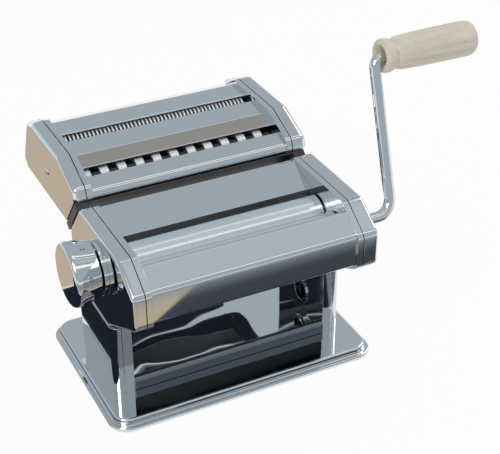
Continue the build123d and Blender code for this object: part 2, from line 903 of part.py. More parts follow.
# Crank: a bent rod with a square end, and its turning grip
lean = radians(crank_lean)
crank_plane = Plane(origin=(0, drive_y, axis_z), x_dir=(1, 0, 0), z_dir=(0, -cos(lean), sin(lean)))
grip_face = crank_head_x + rod_radius + 2 * moving
grip_back = grip_face + grip_length
pin_end = grip_back - grip_pin_end
with BuildPart() as crank_rod:
    with BuildLine(crank_plane) as rod_path:
        foot = Line((socket_end + moving, 0), (crank_foot_x, 0))
        arm = Line((crank_foot_x, 0), (crank_head_x, crank_throw))
        pin = Line((crank_head_x, crank_throw), (pin_end, crank_throw))
        fillet(rod_path.vertices().group_by(Axis.Z)[0].sort_by(Axis.X)[-1:], crank_low_bend)
        fillet(rod_path.vertices().sort_by_distance((crank_head_x, drive_y + crank_throw * sin(lean),
                                                     axis_z + crank_throw * cos(lean)))[:1], crank_high_bend)
    with BuildSketch(Plane(origin=rod_path.line @ 0, z_dir=rod_path.line % 0)):
        Circle(rod_radius)
    sweep(path=rod_path.line)
    with BuildSketch(Plane.YZ.offset(socket_end + moving)):
        with Locations((drive_y, axis_z)):
            Rectangle(tang_size, tang_size, rotation=-crank_lean)
    extrude(amount=-(socket_depth - tang_end_gap))
keep(crank_rod, "crank_rod")

grip_y = drive_y + crank_throw * sin(lean)
grip_z = axis_z + crank_throw * cos(lean)
grip_bore = rod_radius + grip_running
grip_groove_x = grip_face + grip_bead
grip_swell_x = grip_face + grip_length * swell_at
ring_seat = pin_end - 3 * moving - ring_width
ring_out = rod_radius + ring_wall
with BuildPart() as grip_turned:
    with BuildSketch(Plane.XY):
        with BuildLine():
            Line((grip_face, mouth_radius), (grip_face, grip_lip))
            Spline((grip_face, grip_lip), (grip_face + grip_bead * mouth_at, grip_mouth),
                   (grip_groove_x, grip_groove), tangents=((0, 1), groove_in))
            Spline((grip_groove_x, grip_groove), (grip_groove_x + neck_run, grip_neck),
                   (grip_swell_x, grip_radius), (grip_back - grip_round, grip_end_radius),
                   tangents=(groove_out, end_slope))
            Spline((grip_back - grip_round, grip_end_radius), (grip_back, plug_radius + plug_lip),
                   tangents=(end_slope, (0, -1)))
            Line((grip_back, plug_radius + plug_lip), (grip_back, plug_radius))
            Line((grip_back, plug_radius), (ring_seat, plug_radius))
            Line((ring_seat, plug_radius), (ring_seat, grip_bore))
            Line((ring_seat, grip_bore), (grip_face + mouth_depth, grip_bore))
            Line((grip_face + mouth_depth, grip_bore), (grip_face, mouth_radius))
        make_face()
    revolve(axis=Axis.X)
grip_turned.part.position = (0, grip_y, grip_z)
with BuildPart() as crank_grip:
    add(grip_turned.part)
keep(crank_grip, "crank_grip")

with BuildPart() as grip_ring:
    add(tube(pin_end - moving - ring_width, pin_end - moving, ring_out, rod_radius, grip_y, grip_z))
keep(grip_ring, "grip_ring")

with BuildPart() as grip_plug:
    add(tube(grip_back - plug_depth, grip_back, plug_radius, 0, grip_y, grip_z))
keep(grip_plug, "grip_plug")


# Cutter head: cheeks, caps and covers
def cutter_cheek(side):
    with BuildPart() as piece:
        add(cheek_plate(side, cutter_points, corner_round))
        with BuildSketch(Plane.YZ.offset(side * half_width)):
            with Locations(*cutter_axes):
                Circle(cutter_journal + running + cutter_bush_wall)
            with Locations(*cutter_tie_places, cutter_screw_place[side]):
                Circle(screw_radius + screw_clear)
        extrude(amount=side * frame_sheet, mode=Mode.SUBTRACT)
    return piece


keep(cutter_cheek(-1), "cutter_left_cheek")
keep(cutter_cheek(1), "cutter_right_cheek")


def cutter_cap(side):
    with BuildPart() as piece:
        inner, outer = side * cap_in, side * cap_outs[side]
        add(shell_end(cutter_points, corner_round, inner, outer, cap_wall, cutter_cap_round))
        with BuildSketch(Plane.YZ.offset(side * (cap_outs[side] - cap_wall))):
            with Locations(cutter_screw_place[side]):
                Circle(screw_radius + screw_clear)
            if side > 0:
                with Locations(fine_rear, wide_rear):
                    Circle(hub_radius + moving)
        extrude(amount=side * cap_wall, mode=Mode.SUBTRACT)
    return piece


keep(cutter_cap(-1), "cutter_left_cap")
keep(cutter_cap(1), "cutter_right_cap")

with BuildPart() as cutter_screws:
    for side in (-1, 1):
        add(screw(side * cap_outs[side], side, cap_outs[side] - half_width, *cutter_screw_place[side]))
        for y, z in cutter_tie_places:
            add(screw(side * frame_out, side, frame_sheet + tie_screw_grip, y, z))
keep(cutter_screws, "cutter_screws")

with BuildPart() as cutter_tie_rods:
    for y, z in cutter_tie_places:
        add(tube(-half_width, half_width, cutter_tie_radius, screw_radius + screw_clear, y, z))
keep(cutter_tie_rods, "cutter_tie_rods")

cover_top = cutter_top - cover_sink
rear_path = [
    (fine_slot_rear, cover_top - fine_flange),
    (fine_slot_rear, cover_top),
    (cutter_top_rear, cover_top),
    (cutter_shoulder_y - cover_drop, cutter_shoulder_z - cover_sink),
    (cutter_back - cover_drop, cutter_back_z),
    (cutter_back_foot, cutter_bottom + cover_drop),
    (cutter_back_foot - cutter_back_return, cutter_bottom + cover_drop),
]
middle_path = [
    (wide_slot_rear, cover_top - wide_edge_drop - slot_lip),
    (wide_slot_rear, cover_top - wide_edge_drop),
    (ridge_y, cover_top - ridge_drop),
    (fine_slot_front, cover_top),
    (fine_slot_front, cover_top - fine_flange),
]
lip_rise = (cutter_top - cutter_lip_z) / (cutter_top_front - cutter_lip_y)
front_edge_z = cutter_lip_z + (wide_slot_front - cutter_lip_y) * lip_rise - cover_sink
nose_bend = corner_round - cover_drop
front_path = [
    (cutter_front_foot + cutter_front_return, cutter_bottom + cover_drop),
    (cutter_front_foot + cover_drop, cutter_bottom + cover_drop),
    (cutter_front_y + cover_drop, cutter_front_top),
    (cutter_lip_y, cutter_lip_z - cover_sink),
    (wide_slot_front, front_edge_z),
    (wide_slot_front, front_edge_z - slot_flange),
]
for path, bend, name in (
    (rear_path, cutter_bend, "cutter_rear_cover"),
    (middle_path, cutter_bend, "cutter_middle_cover"),
    (front_path, [cutter_front_bend, nose_bend, nose_bend, cutter_front_bend], "cutter_front_cover"),
):
    with BuildPart() as cutter_cover:
        with BuildSketch(Plane.YZ.offset(-half_width)):
            add(sheet_face(path, bend, cover_sheet, Side.RIGHT))
        extrude(amount=inner_width)
    keep(cutter_cover, name)


# Cutter rollers: discs on a core, the two of a pair interleaved
def cutter_roller(axis, pitch, disc, count, middle=0):
    first = middle - pitch * (count - 1) / 2
    with BuildPart() as piece:
        add(tube(-roller_end, roller_end, groove_radius, 0, *axis))
        for index in range(count):
            x = first + index * pitch
            with BuildSketch(Plane.YZ.offset(x - disc / 2)):
                with Locations(axis):
                    Circle(disc_radius)
            extrude(amount=disc)
        add(tube(-frame_out - bush_length / 2, gear_end, cutter_journal, 0, *axis))
    return piece


keep(cutter_roller(fine_front, fine_pitch, fine_disc, fine_count), "fine_cutter_front")
keep(cutter_roller(fine_rear, fine_pitch, fine_disc, fine_count - 1), "fine_cutter_rear")
keep(cutter_roller(wide_front, wide_pitch, wide_disc, wide_count, wide_shift), "wide_cutter_front")
keep(cutter_roller(wide_rear, wide_pitch, wide_disc, wide_count, -wide_shift), "wide_cutter_rear")


def cutter_gear(axis, first_angle, driven):
    with BuildPart() as piece:
        with BuildSketch(Plane.YZ.offset(gear_start)):
            with Locations(axis):
                add(gear_face(cutter_gear_teeth, cutter_gear_root, cutter_gear_tip,
                              cutter_tooth_root, cutter_tooth_tip, first_angle))
        extrude(amount=gear_width)
        if driven:
            add(tube(gear_end, socket_end, hub_radius, 0, *axis))
            with BuildSketch(Plane.YZ.offset(socket_end)):
                with Locations(axis):
                    Rectangle(socket_size, socket_size)
            extrude(amount=-(socket_end - gear_end), mode=Mode.SUBTRACT)
        with BuildSketch(Plane.YZ.offset(gear_start)):
            with Locations(axis):
                Circle(cutter_journal)
        extrude(amount=gear_width, mode=Mode.SUBTRACT)
    return piece


half_step = 180 / cutter_gear_teeth
keep(cutter_gear(fine_front, 0, False), "fine_gear_front")
keep(cutter_gear(fine_rear, 180 + half_step, True), "fine_gear_rear")
keep(cutter_gear(wide_front, 0, False), "wide_gear_front")
keep(cutter_gear(wide_rear, 180 + half_step, True), "wide_gear_rear")

with BuildPart() as cutter_bushes:
    for side in (-1, 1):
        for axis in cutter_axes:
            add(tube(side * half_width, side * (frame_out + bush_wall / 2),
                     cutter_journal + running + cutter_bush_wall, cutter_journal + running, *axis))
keep(cutter_bushes, "cutter_bushes")


# Combs: strips below the cutter rollers with a tooth in each groove, and a plate between the two pairs
def comb(axis, shift, pitch, disc, grooves, middle=0):
    y = axis[0] + shift
    z = axis[1]
    tip_z = z - groove_radius - comb_gap
    back_z = z - disc_radius - comb_gap - comb_reach
    tooth = pitch - disc - 2 * comb_side_gap
    first = middle - pitch * (grooves - 1) / 2
    with BuildPart() as piece:
        with BuildSketch(Plane.XZ.offset(-y - comb_sheet / 2)):
            with Locations((0, back_z - comb_back / 2)):
                Rectangle(inner_width, comb_back)
            with Locations(*[(first + index * pitch, (tip_z + back_z) / 2) for index in range(grooves)]):
                Rectangle(tooth, tip_z - back_z)
        extrude(amount=comb_sheet)
    return piece.part


with BuildPart() as cutter_combs:
    add(comb(fine_front, comb_shift, fine_pitch, fine_disc, fine_count - 1))
    add(comb(fine_rear, -comb_shift, fine_pitch, fine_disc, fine_count))
    add(comb(wide_front, comb_shift, wide_pitch, wide_disc, wide_count - 1, wide_shift))
    add(comb(wide_rear, -comb_shift, wide_pitch, wide_disc, wide_count - 1, -wide_shift))
    with BuildSketch(Plane.XZ.offset(-divider_y - comb_sheet / 2)):
        with Locations((0, (divider_bottom + divider_top) / 2)):
            Rectangle(inner_width, divider_top - divider_bottom)
    extrude(amount=comb_sheet)
keep(cutter_combs, "cutter_combs")

# Rails on the machine's slanted back, and the guides that ride on them
rail_x = (cap_in + cap_out) / 2
guide_half = (cap_out - cap_in) / 2 - moving


def slope_plane(x):
    """Plane on the slanted back: local x runs down the slope, local y along X, normal outwards."""
    return Plane(origin=(x, head_top_rear, head_top), x_dir=(0, *rail_down), z_dir=(0, *rail_out))


with BuildPart() as guide_rails:
    for side in (-1, 1):
        with BuildSketch(slope_plane(side * rail_x)):
            with Locations(((rail_from + rail_to) / 2, 0)):
                Rectangle(rail_to - rail_from, rail_width)
        extrude(amount=rail_thickness)
keep(guide_rails, "guide_rails")

with BuildPart() as cutter_guides:
    slot_from = rail_from - moving
    for side in (-1, 1):
        with BuildSketch(slope_plane(side * rail_x).offset(moving)):
            with Locations(((guide_from + guide_to) / 2, 0)):
                Rectangle(guide_to - guide_from, 2 * guide_half)
        extrude(amount=guide_depth - moving)
        with BuildSketch(slope_plane(side * rail_x).offset(moving)):
            with Locations(((slot_from + guide_to) / 2, 0)):
                Rectangle(guide_to - slot_from, rail_width + 2 * moving)
        extrude(amount=rail_thickness, mode=Mode.SUBTRACT)
    with BuildSketch(slope_plane(0).offset(guide_depth - guide_web_gap)):
        with Locations(((guide_from + guide_to) / 2, 0)):
            Rectangle(guide_to - guide_from, 2 * (rail_x + guide_half))
    extrude(amount=-guide_web)
keep(cutter_guides, "cutter_guides")
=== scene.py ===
"""Looks of a hand-cranked pasta machine: polished sheets, cutter rollers, a beech grip and the studio."""

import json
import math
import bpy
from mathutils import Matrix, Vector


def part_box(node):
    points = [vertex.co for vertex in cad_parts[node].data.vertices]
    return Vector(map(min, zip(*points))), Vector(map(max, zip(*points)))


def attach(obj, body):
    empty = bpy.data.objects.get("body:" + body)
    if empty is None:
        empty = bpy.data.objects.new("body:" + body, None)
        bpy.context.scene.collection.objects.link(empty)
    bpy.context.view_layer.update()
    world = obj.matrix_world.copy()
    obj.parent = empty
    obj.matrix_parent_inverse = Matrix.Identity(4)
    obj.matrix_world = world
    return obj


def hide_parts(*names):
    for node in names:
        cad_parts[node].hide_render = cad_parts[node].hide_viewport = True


bl_info = {
    "name": "Pasta Machine Looks",
    "version": (1, 0, 0),
    "blender": (4, 5, 0),
    "location": "View3D > Sidebar > Pasta Machine",
    "description": "Dresses the packed pasta machine and sets up its studio",
    "category": "Object",
}

import bmesh
import bpy
from bpy.props import FloatProperty, FloatVectorProperty, IntProperty, PointerProperty
from mathutils import Matrix, Vector

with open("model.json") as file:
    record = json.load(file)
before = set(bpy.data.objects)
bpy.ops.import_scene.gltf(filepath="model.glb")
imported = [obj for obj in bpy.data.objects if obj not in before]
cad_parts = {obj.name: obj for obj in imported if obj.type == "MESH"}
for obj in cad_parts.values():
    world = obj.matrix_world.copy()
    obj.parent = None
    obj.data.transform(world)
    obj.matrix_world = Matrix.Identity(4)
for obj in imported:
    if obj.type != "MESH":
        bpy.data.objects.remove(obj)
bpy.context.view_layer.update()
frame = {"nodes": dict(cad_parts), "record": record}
MM = 0.001
X_AXIS = Vector((1, 0, 0))
RGBA = {"size": 4, "min": 0, "max": 1}

CHROME_SHEETS = (
    "base_plate", "left_side_frame", "right_side_frame", "left_leg_cover", "right_leg_cover",
    "front_cover", "rear_cover", "left_end_cover", "right_end_cover", "lower_tie_bar", "clamp_eyelets",
    "cutter_left_cheek", "cutter_right_cheek", "cutter_left_cap", "cutter_right_cap",
    "cutter_rear_cover", "cutter_middle_cover", "cutter_front_cover", "knob_collar",
)
BLACK_PARTS = ("guide_rails", "cutter_guides", "roller_scrapers", "cutter_combs")
BRONZE_PARTS = ("drive_bushes", "slide_bushes", "cutter_bushes")
STEEL_PARTS = (
    "tie_rods", "cutter_tie_rods", "base_screws", "tie_rod_screws", "drive_gear", "rear_gear", "drive_clip",
    "fine_gear_front", "fine_gear_rear", "wide_gear_front", "wide_gear_rear", "left_bearing_slide",
    "right_bearing_slide", "adjuster_shaft", "adjuster_cams", "adjuster_brackets", "knob_nut",
    "knob_spring", "index_plunger", "grip_ring",
)
# Node, number of discs, pitch, disc width and middle of the row along X, in millimetres.
CUTTER_ROWS = (
    ("fine_cutter_front", 49, 3.0, 1.2, 0.0), ("fine_cutter_rear", 48, 3.0, 1.2, 0.0),
    ("wide_cutter_front", 11, 13.4, 6.2, 3.35), ("wide_cutter_rear", 11, 13.4, 6.2, -3.35),
)
# Outside of the grip from the crank's side to the tip: distance along it and radius, in millimetres.
GRIP_OUTSIDE = (
    (0.0, 9.2), (0.15, 10.4), (0.8, 11.4), (2.0, 12.0), (3.6, 12.1), (5.2, 11.95), (7.0, 11.4),
    (8.4, 10.5), (9.2, 10.05), (9.9, 10.0), (10.4, 10.35), (11.2, 10.85), (13.0, 11.4),
    (16.0, 11.85), (21.0, 12.2), (30.0, 12.45), (42.0, 12.6), (54.0, 12.72), (62.0, 12.75),
    (69.0, 12.68), (71.5, 12.5), (73.2, 12.0), (74.4, 11.1), (75.1, 10.0), (75.45, 8.8),
    (75.5, 7.6), (75.5, 0.0),
)
# Places (y, z) of the screw heads on the left (-1) and the right (1) faces, in millimetres.
SCREW_PLACES = {
    "end_cover_screws": {-1: [(-63, 116), (6, 95)], 1: [(-71, 104), (6, 95)]},
    "cutter_screws": {-1: [(80, 129)], 1: [(81.5, 126)]},
}


class PastaFinish(bpy.types.PropertyGroup):
    """Colours and finishes of the machine; the grooves, the front discs, the lower bar and the inside of
    the covers carry painted shade.
    """

    chrome: FloatVectorProperty(
        name="Chrome", description="Colour of the polished sheets", subtype="COLOR",
        default=(0.70, 0.725, 0.745, 1), **RGBA)
    steel: FloatVectorProperty(
        name="Steel", description="Colour of the ground rollers", subtype="COLOR",
        default=(0.80, 0.83, 0.85, 1), **RGBA)
    wood: FloatVectorProperty(
        name="Beech", description="Main colour of the grip", subtype="COLOR",
        default=(0.84, 0.73, 0.585, 1), **RGBA)
    wood_dark: FloatVectorProperty(
        name="Beech grain", description="Colour of the grip's grain", subtype="COLOR",
        default=(0.72, 0.59, 0.44, 1), **RGBA)
    black: FloatVectorProperty(
        name="Black plastic", description="Colour of the guides and scrapers", subtype="COLOR",
        default=(0.012, 0.012, 0.014, 1), **RGBA)
    satin: FloatVectorProperty(
        name="Satin alloy", description="Colour of the rear cutter discs", subtype="COLOR",
        default=(0.88, 0.885, 0.89, 1), **RGBA)
    # Painted reflection: the bar is chrome, darkened to show the dark room it mirrors.
    bar: FloatVectorProperty(
        name="Lower bar", description="Colour of the bar across the legs", subtype="COLOR",
        default=(0.15, 0.165, 0.19, 1), **RGBA)
    # Painted shade: the grooves between the cutter discs and the front discs are darkened to stand in for
    # the shade that falls there.
    dark_steel: FloatVectorProperty(
        name="Shaded steel", description="Colour of the grooves and the front discs", subtype="COLOR",
        default=(0.055, 0.057, 0.066, 1), **RGBA)
    # Painted shade: the inside of the covers is darkened to stand in for the shade inside the machine, and
    # made rougher.
    dull: FloatVectorProperty(
        name="Inside shade", description="Colour of the unpolished inside of the covers", subtype="COLOR",
        default=(0.30, 0.315, 0.33, 1), **RGBA)
    polish: FloatProperty(
        name="Polish", description="Roughness of the polished sheets", subtype="FACTOR", min=0, max=1,
        default=0.05)


class PastaSizes(bpy.types.PropertyGroup):
    """Sizes of the pieces that are made here."""

    edge: FloatProperty(
        name="Sheet edge", description="Rounding of a sheet's cut edge", unit="LENGTH",
        default=0.25 * MM)
    digit: FloatProperty(
        name="Digit height", description="Height of the numbers on the knob", unit="LENGTH",
        default=4.6 * MM)
    crank_bend_low: FloatProperty(
        name="Lower bend", description="Radius of the crank's lower bend", unit="LENGTH",
        default=12 * MM)
    crank_bend_high: FloatProperty(
        name="Upper bend", description="Radius of the crank's upper bend", unit="LENGTH",
        default=7 * MM)
    screw_slot: FloatProperty(
        name="Screw slot", description="Width of a screw's slot", unit="LENGTH", default=0.7 * MM)
    disc_sides: IntProperty(name="Disc sides", description="Sides of a cutter disc", min=12, default=48)


class PastaStudio(bpy.types.PropertyGroup):
    """Camera and light."""

    camera_place: FloatVectorProperty(
        name="Camera", description="Where the camera stands", subtype="XYZ", unit="LENGTH",
        default=(-0.3031, -0.6816, 0.5603))
    azimuth: FloatProperty(
        name="Azimuth", description="Turn of the view about the vertical", subtype="ANGLE",
        default=math.radians(-26.26))
    elevation: FloatProperty(
        name="Elevation", description="Height angle of the view", subtype="ANGLE",
        default=math.radians(31.61))
    roll: FloatProperty(
        name="Roll", description="Tilt of the picture", subtype="ANGLE", default=math.radians(-0.3))
    lens: FloatProperty(name="Lens", description="Focal length in millimetres", default=89.15)
    dome: FloatVectorProperty(
        name="Room", description="Grey of the room that the metal mirrors", subtype="COLOR",
        default=(0.455, 0.505, 0.545, 1), **RGBA)
    beige: FloatVectorProperty(
        name="Warm cards", description="Colour of the warm reflection cards", subtype="COLOR",
        default=(0.60, 0.50, 0.37, 1), **RGBA)
    dark: FloatVectorProperty(
        name="Dark cards", description="Colour of the dark reflection cards", subtype="COLOR",
        default=(0.060, 0.068, 0.086, 1), **RGBA)
    key: FloatProperty(
        name="Key lamp", description="Power of the main soft lamp in watts", default=14.0)
    fill: FloatProperty(
        name="Side lamp", description="Power of the right soft lamp in watts", default=7.0)


def finish():
    return bpy.context.scene.pasta_finish


def sizes():
    return bpy.context.scene.pasta_sizes


def studio():
    return bpy.context.scene.pasta_studio


def body_of_node(node):
    """Name of the body that carries a CAD node."""
    bodies = frame["record"]["behaviour"]["bodies"]
    return next(body for body, nodes in bodies.items() if node in nodes)


def axis_of(low, high):
    """(y, z) of the axis along X through the middle of a box."""
    return ((low.y + high.y) / 2, (low.z + high.z) / 2)


def linked(name, data):
    """A new object with this data, in the scene."""
    obj = bpy.data.objects.new(name, data)
    bpy.context.scene.collection.objects.link(obj)
    return obj


def new_piece(name, mesh, material):
    """A finished mesh in the scene, in one material or, with None, in those that it has."""
    mesh.name = name
    if material is not None:
        mesh.materials.clear()
        mesh.materials.append(material)
    return linked(name, mesh)


def link_piece(name, mesh, material, node, *more_nodes):
    """Adds a finished mesh as a piece that stands for CAD nodes and rides on their body."""
    piece = new_piece(name, mesh, material)
    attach(piece, body_of_node(node))
    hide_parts(node, *more_nodes)


def link_detail(name, mesh, material, body):
    """Adds a finished mesh as a small detail that stands for no CAD node."""
    piece = new_piece(name, mesh, material)
    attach(piece, body)


def baked(obj):
    """Plain mesh of an object with its modifiers worked in; the object is removed."""
    bpy.context.view_layer.update()
    evaluated = obj.evaluated_get(bpy.context.evaluated_depsgraph_get())
    mesh = bpy.data.meshes.new_from_object(evaluated)
    bpy.data.objects.remove(obj)
    return mesh


def polished_mesh(node, edge):
    """A welded copy of a CAD shape: flat faces stay flat, cut edges get a fine rounding."""
    weld = 0.002 * MM
    flat_within = math.radians(0.4)
    edge_from = math.radians(40)
    mesh = frame["nodes"][node].data.copy()
    if "custom_normal" in mesh.attributes:
        mesh.attributes.remove(mesh.attributes["custom_normal"])
    form = bmesh.new()
    form.from_mesh(mesh)
    bmesh.ops.remove_doubles(form, verts=form.verts, dist=weld)
    bmesh.ops.dissolve_limit(form, angle_limit=flat_within, verts=form.verts, edges=form.edges)
    form.to_mesh(mesh)
    form.free()
    mesh.shade_smooth()
    rough = linked("rough", mesh)
    bevel = rough.modifiers.new("edge", "BEVEL")
    bevel.width = edge
    bevel.segments = 2
    bevel.limit_method = "ANGLE"
    bevel.angle_limit = edge_from
    bevel.miter_outer = "MITER_ARC"
    weighted = rough.modifiers.new("flat", "WEIGHTED_NORMAL")
    weighted.weight = 80
    return baked(rough)


def skin(form, rings):
    """Faces between rings of vertices that follow one another."""
    for first, second in zip(rings, rings[1:]):
        for index in range(len(first)):
            after = (index + 1) % len(first)
            form.faces.new((first[index], first[after], second[after], second[index]))


def smooth_mesh(form, name, sharp):
    """Smooth mesh of a form; edges above an angle in degrees stay sharp."""
    bmesh.ops.recalc_face_normals(form, faces=form.faces)
    mesh = bpy.data.meshes.new(name)
    form.to_mesh(mesh)
    form.free()
    mesh.shade_smooth()
    mesh.set_sharp_from_angle(angle=math.radians(sharp))
    return mesh


def lathe(profile, place, sides, sharp=38):
    """Mesh turned about an axis along X through place, from (x, radius) points in metres."""
    on_axis = 1e-6
    weld = 1e-7
    form = bmesh.new()
    rings = []
    for x, radius in profile:
        ring = []
        for index in range(sides):
            angle = 2 * math.pi * index / sides
            y = place[0] + radius * math.cos(angle)
            z = place[1] + radius * math.sin(angle)
            ring.append(form.verts.new((x, y, z)))
        rings.append(ring)
    skin(form, rings)
    for ring, (x, radius) in ((rings[0], profile[0]), (rings[-1], profile[-1])):
        if radius > on_axis:
            form.faces.new(ring)
    bmesh.ops.remove_doubles(form, verts=form.verts, dist=weld)
    return smooth_mesh(form, "turned", sharp)


def rounded_profile(points, radii, steps):
    """(x, radius) points with the corners rounded by the given radii."""
    under_half = 0.49
    result = [points[0]]
    for before, corner, after, radius in zip(points, points[1:], points[2:], radii):
        corner_v = Vector(corner)
        to_before = Vector(before) - corner_v
        to_after = Vector(after) - corner_v
        reach = min(radius, to_before.length * under_half, to_after.length * under_half)
        if reach <= 0:
            result.append(corner)
            continue
        start = corner_v + to_before.normalized() * reach
        end = corner_v + to_after.normalized() * reach
        for step in range(steps + 1):
            t = step / steps
            point = start * (1 - t) ** 2 + corner_v * 2 * t * (1 - t) + end * t ** 2
            result.append((point.x, point.y))
    result.append(points[-1])
    return result


def swept_rod(path, radius, sides):
    """Mesh of a round rod along a path of points, closed at both ends."""
    form = bmesh.new()
    rings = []
    up = Vector((0, 1, 0))
    for index, point in enumerate(path):
        ahead = path[min(index + 1, len(path) - 1)] - path[max(index - 1, 0)]
        ahead.normalize()
        across = ahead.cross(up).normalized()
        up = across.cross(ahead).normalized()
        ring = []
        for side in range(sides):
            angle = 2 * math.pi * side / sides
            ring.append(form.verts.new(point + radius * (across * math.cos(angle) + up * math.sin(angle))))
        rings.append(ring)
    skin(form, rings)
    form.faces.new(rings[0])
    form.faces.new(rings[-1])
    return smooth_mesh(form, "rod", 40)


def joined(meshes, name):
    """One mesh from several; each keeps its own smooth and sharp edges."""
    form = bmesh.new()
    for mesh in meshes:
        form.from_mesh(mesh)
        bpy.data.meshes.remove(mesh)
    whole = bpy.data.meshes.new(name)
    form.to_mesh(whole)
    form.free()
    return whole


def add_node(tree, kind, place, **values):
    """A node at a place in the editor, with its settings."""
    node = tree.nodes.new(kind)
    node.location = place
    for key, value in values.items():
        setattr(node, key, value)
    return node


def preset(node, values):
    """Sets a node's inputs, given by name or by number."""
    for entry, value in values.items():
        node.inputs[entry].default_value = value


def connect(tree, wires):
    """Links given as (from node, its output, to node, its input)."""
    for source, output, target, entry in wires:
        tree.links.new(source.outputs[output], target.inputs[entry])


def new_tree(name, kind, inputs, outputs):
    """A node group with its named sockets, and whether it is new."""
    if name in bpy.data.node_groups:
        return bpy.data.node_groups[name], False
    tree = bpy.data.node_groups.new(name, kind)
    for way, sockets in (("INPUT", inputs), ("OUTPUT", outputs)):
        for socket, socket_kind in sockets:
            tree.interface.new_socket(socket, in_out=way, socket_type=f"NodeSocket{socket_kind}")
    return tree, True


def polish_group():
    """Shader group: hand polish. Gives a roughness and a faint height for sheet steel."""
    group, fresh = new_tree(
        "HandPolish", "ShaderNodeTree",
        [("Smooth", "Float"), ("Smudged", "Float"), ("Smudge Scale", "Float"), ("Wave Scale", "Float")],
        [("Roughness", "Float"), ("Height", "Float")])
    if not fresh:
        return group
    start = add_node(group, "NodeGroupInput", (-900, 0))
    end = add_node(group, "NodeGroupOutput", (500, 0))
    place = add_node(group, "ShaderNodeTexCoord", (-900, -300))
    smudge = add_node(group, "ShaderNodeTexNoise", (-600, 100))
    preset(smudge, {"Detail": 5, "Roughness": 0.62})
    ramp = add_node(group, "ShaderNodeMapRange", (-350, 100))
    preset(ramp, {"From Min": 0.5, "From Max": 0.78})
    wave = add_node(group, "ShaderNodeTexNoise", (-600, -300))
    preset(wave, {"Detail": 1})
    connect(group, [
        (place, "Object", smudge, "Vector"), (place, "Object", wave, "Vector"),
        (start, "Smudge Scale", smudge, "Scale"), (start, "Wave Scale", wave, "Scale"),
        (smudge, "Fac", ramp, "Value"), (start, "Smooth", ramp, "To Min"),
        (start, "Smudged", ramp, "To Max"), (ramp, "Result", end, "Roughness"),
        (wave, "Fac", end, "Height"),
    ])
    return group


def new_material(name):
    """A material and its node tree, or None for the tree of one that is built already."""
    material = bpy.data.materials.get(name)
    if material:
        return material, None
    material = bpy.data.materials.new(name)
    material.use_nodes = True
    return material, material.node_tree


def inside_group():
    """Mask of the faces that look towards a middle point: the inside of a cover, where shade is painted."""
    tree, fresh = new_tree("InsideShadeMask", "ShaderNodeTree", [("Middle", "Vector")], [("Inside", "Float")])
    if not fresh:
        return tree
    start = add_node(tree, "NodeGroupInput", (-800, 0))
    end = add_node(tree, "NodeGroupOutput", (200, 0))
    place = add_node(tree, "ShaderNodeTexCoord", (-800, -200))
    away = add_node(tree, "ShaderNodeVectorMath", (-500, 0), operation="SUBTRACT")
    facing = add_node(tree, "ShaderNodeVectorMath", (-300, 0), operation="DOT_PRODUCT")
    inward = add_node(tree, "ShaderNodeMath", (-50, 0), operation="LESS_THAN")
    preset(inward, {1: 0.0})
    connect(tree, [
        (place, "Object", away, 0), (start, "Middle", away, 1), (away, "Vector", facing, 0),
        (place, "Normal", facing, 1), (facing, "Value", inward, 0), (inward, "Value", end, "Inside"),
    ])
    return tree


def dull_inside(material, middle):
    """Paints shade on the inside of a polished cover and makes it rough."""
    tree = material.node_tree
    shader = tree.nodes["Principled BSDF"]
    mask = add_node(tree, "ShaderNodeGroup", (-500, 400), node_tree=inside_group())
    preset(mask, {"Middle": middle})
    # Painted shade: the inside faces mix towards the darker inside colour.
    tint = add_node(tree, "ShaderNodeMix", (-250, 400), data_type="RGBA")
    preset(tint, {"A": shader.inputs["Base Color"].default_value, "B": finish().dull})
    rough = add_node(tree, "ShaderNodeMix", (-250, 150))
    preset(rough, {"B": 0.45})
    polish = shader.inputs["Roughness"].links[0].from_node
    connect(tree, [
        (mask, "Inside", tint, "Factor"), (mask, "Inside", rough, "Factor"),
        (polish, "Roughness", rough, "A"), (tint, "Result", shader, "Base Color"),
        (rough, "Result", shader, "Roughness"),
    ])


def chrome_material(name, colour, smooth, smudged, wave, wave_scale=9.0, smudge_scale=14.0, middle=None):
    """Polished chrome with faint smudges and the slow waves of pressed sheet."""
    material, tree = new_material(name)
    if tree is None:
        return material
    shader = tree.nodes["Principled BSDF"]
    preset(shader, {"Base Color": colour, "Metallic": 1.0})
    polish = add_node(tree, "ShaderNodeGroup", (-500, 0), node_tree=polish_group())
    preset(polish, {
        "Smooth": smooth, "Smudged": smudged, "Smudge Scale": smudge_scale, "Wave Scale": wave_scale,
    })
    bump = add_node(tree, "ShaderNodeBump", (-250, -200))
    preset(bump, {"Strength": wave, "Distance": 0.002})
    connect(tree, [
        (polish, "Roughness", shader, "Roughness"), (polish, "Height", bump, "Height"),
        (bump, "Normal", shader, "Normal"),
    ])
    if middle:
        dull_inside(material, middle)
    return material


def turned_steel_material(name, colour, metallic=1.0, low=0.14, high=0.30):
    """Ground steel with fine rings around the X axis."""
    material, tree = new_material(name)
    if tree is None:
        return material
    shader = tree.nodes["Principled BSDF"]
    preset(shader, {"Base Color": colour, "Metallic": metallic})
    place = add_node(tree, "ShaderNodeTexCoord", (-1000, 0))
    mapping = add_node(tree, "ShaderNodeMapping", (-800, 0))
    preset(mapping, {"Scale": (900, 6, 6)})
    rings = add_node(tree, "ShaderNodeTexNoise", (-600, 0))
    preset(rings, {"Scale": 1.0, "Detail": 3})
    spread = add_node(tree, "ShaderNodeMapRange", (-380, 0))
    preset(spread, {"To Min": low, "To Max": high})
    bump = add_node(tree, "ShaderNodeBump", (-250, -250))
    preset(bump, {"Strength": 0.05, "Distance": 0.0002})
    connect(tree, [
        (place, "Object", mapping, "Vector"), (mapping, "Vector", rings, "Vector"),
        (rings, "Fac", spread, "Value"), (spread, "Result", shader, "Roughness"),
        (rings, "Fac", bump, "Height"), (bump, "Normal", shader, "Normal"),
    ])
    return material


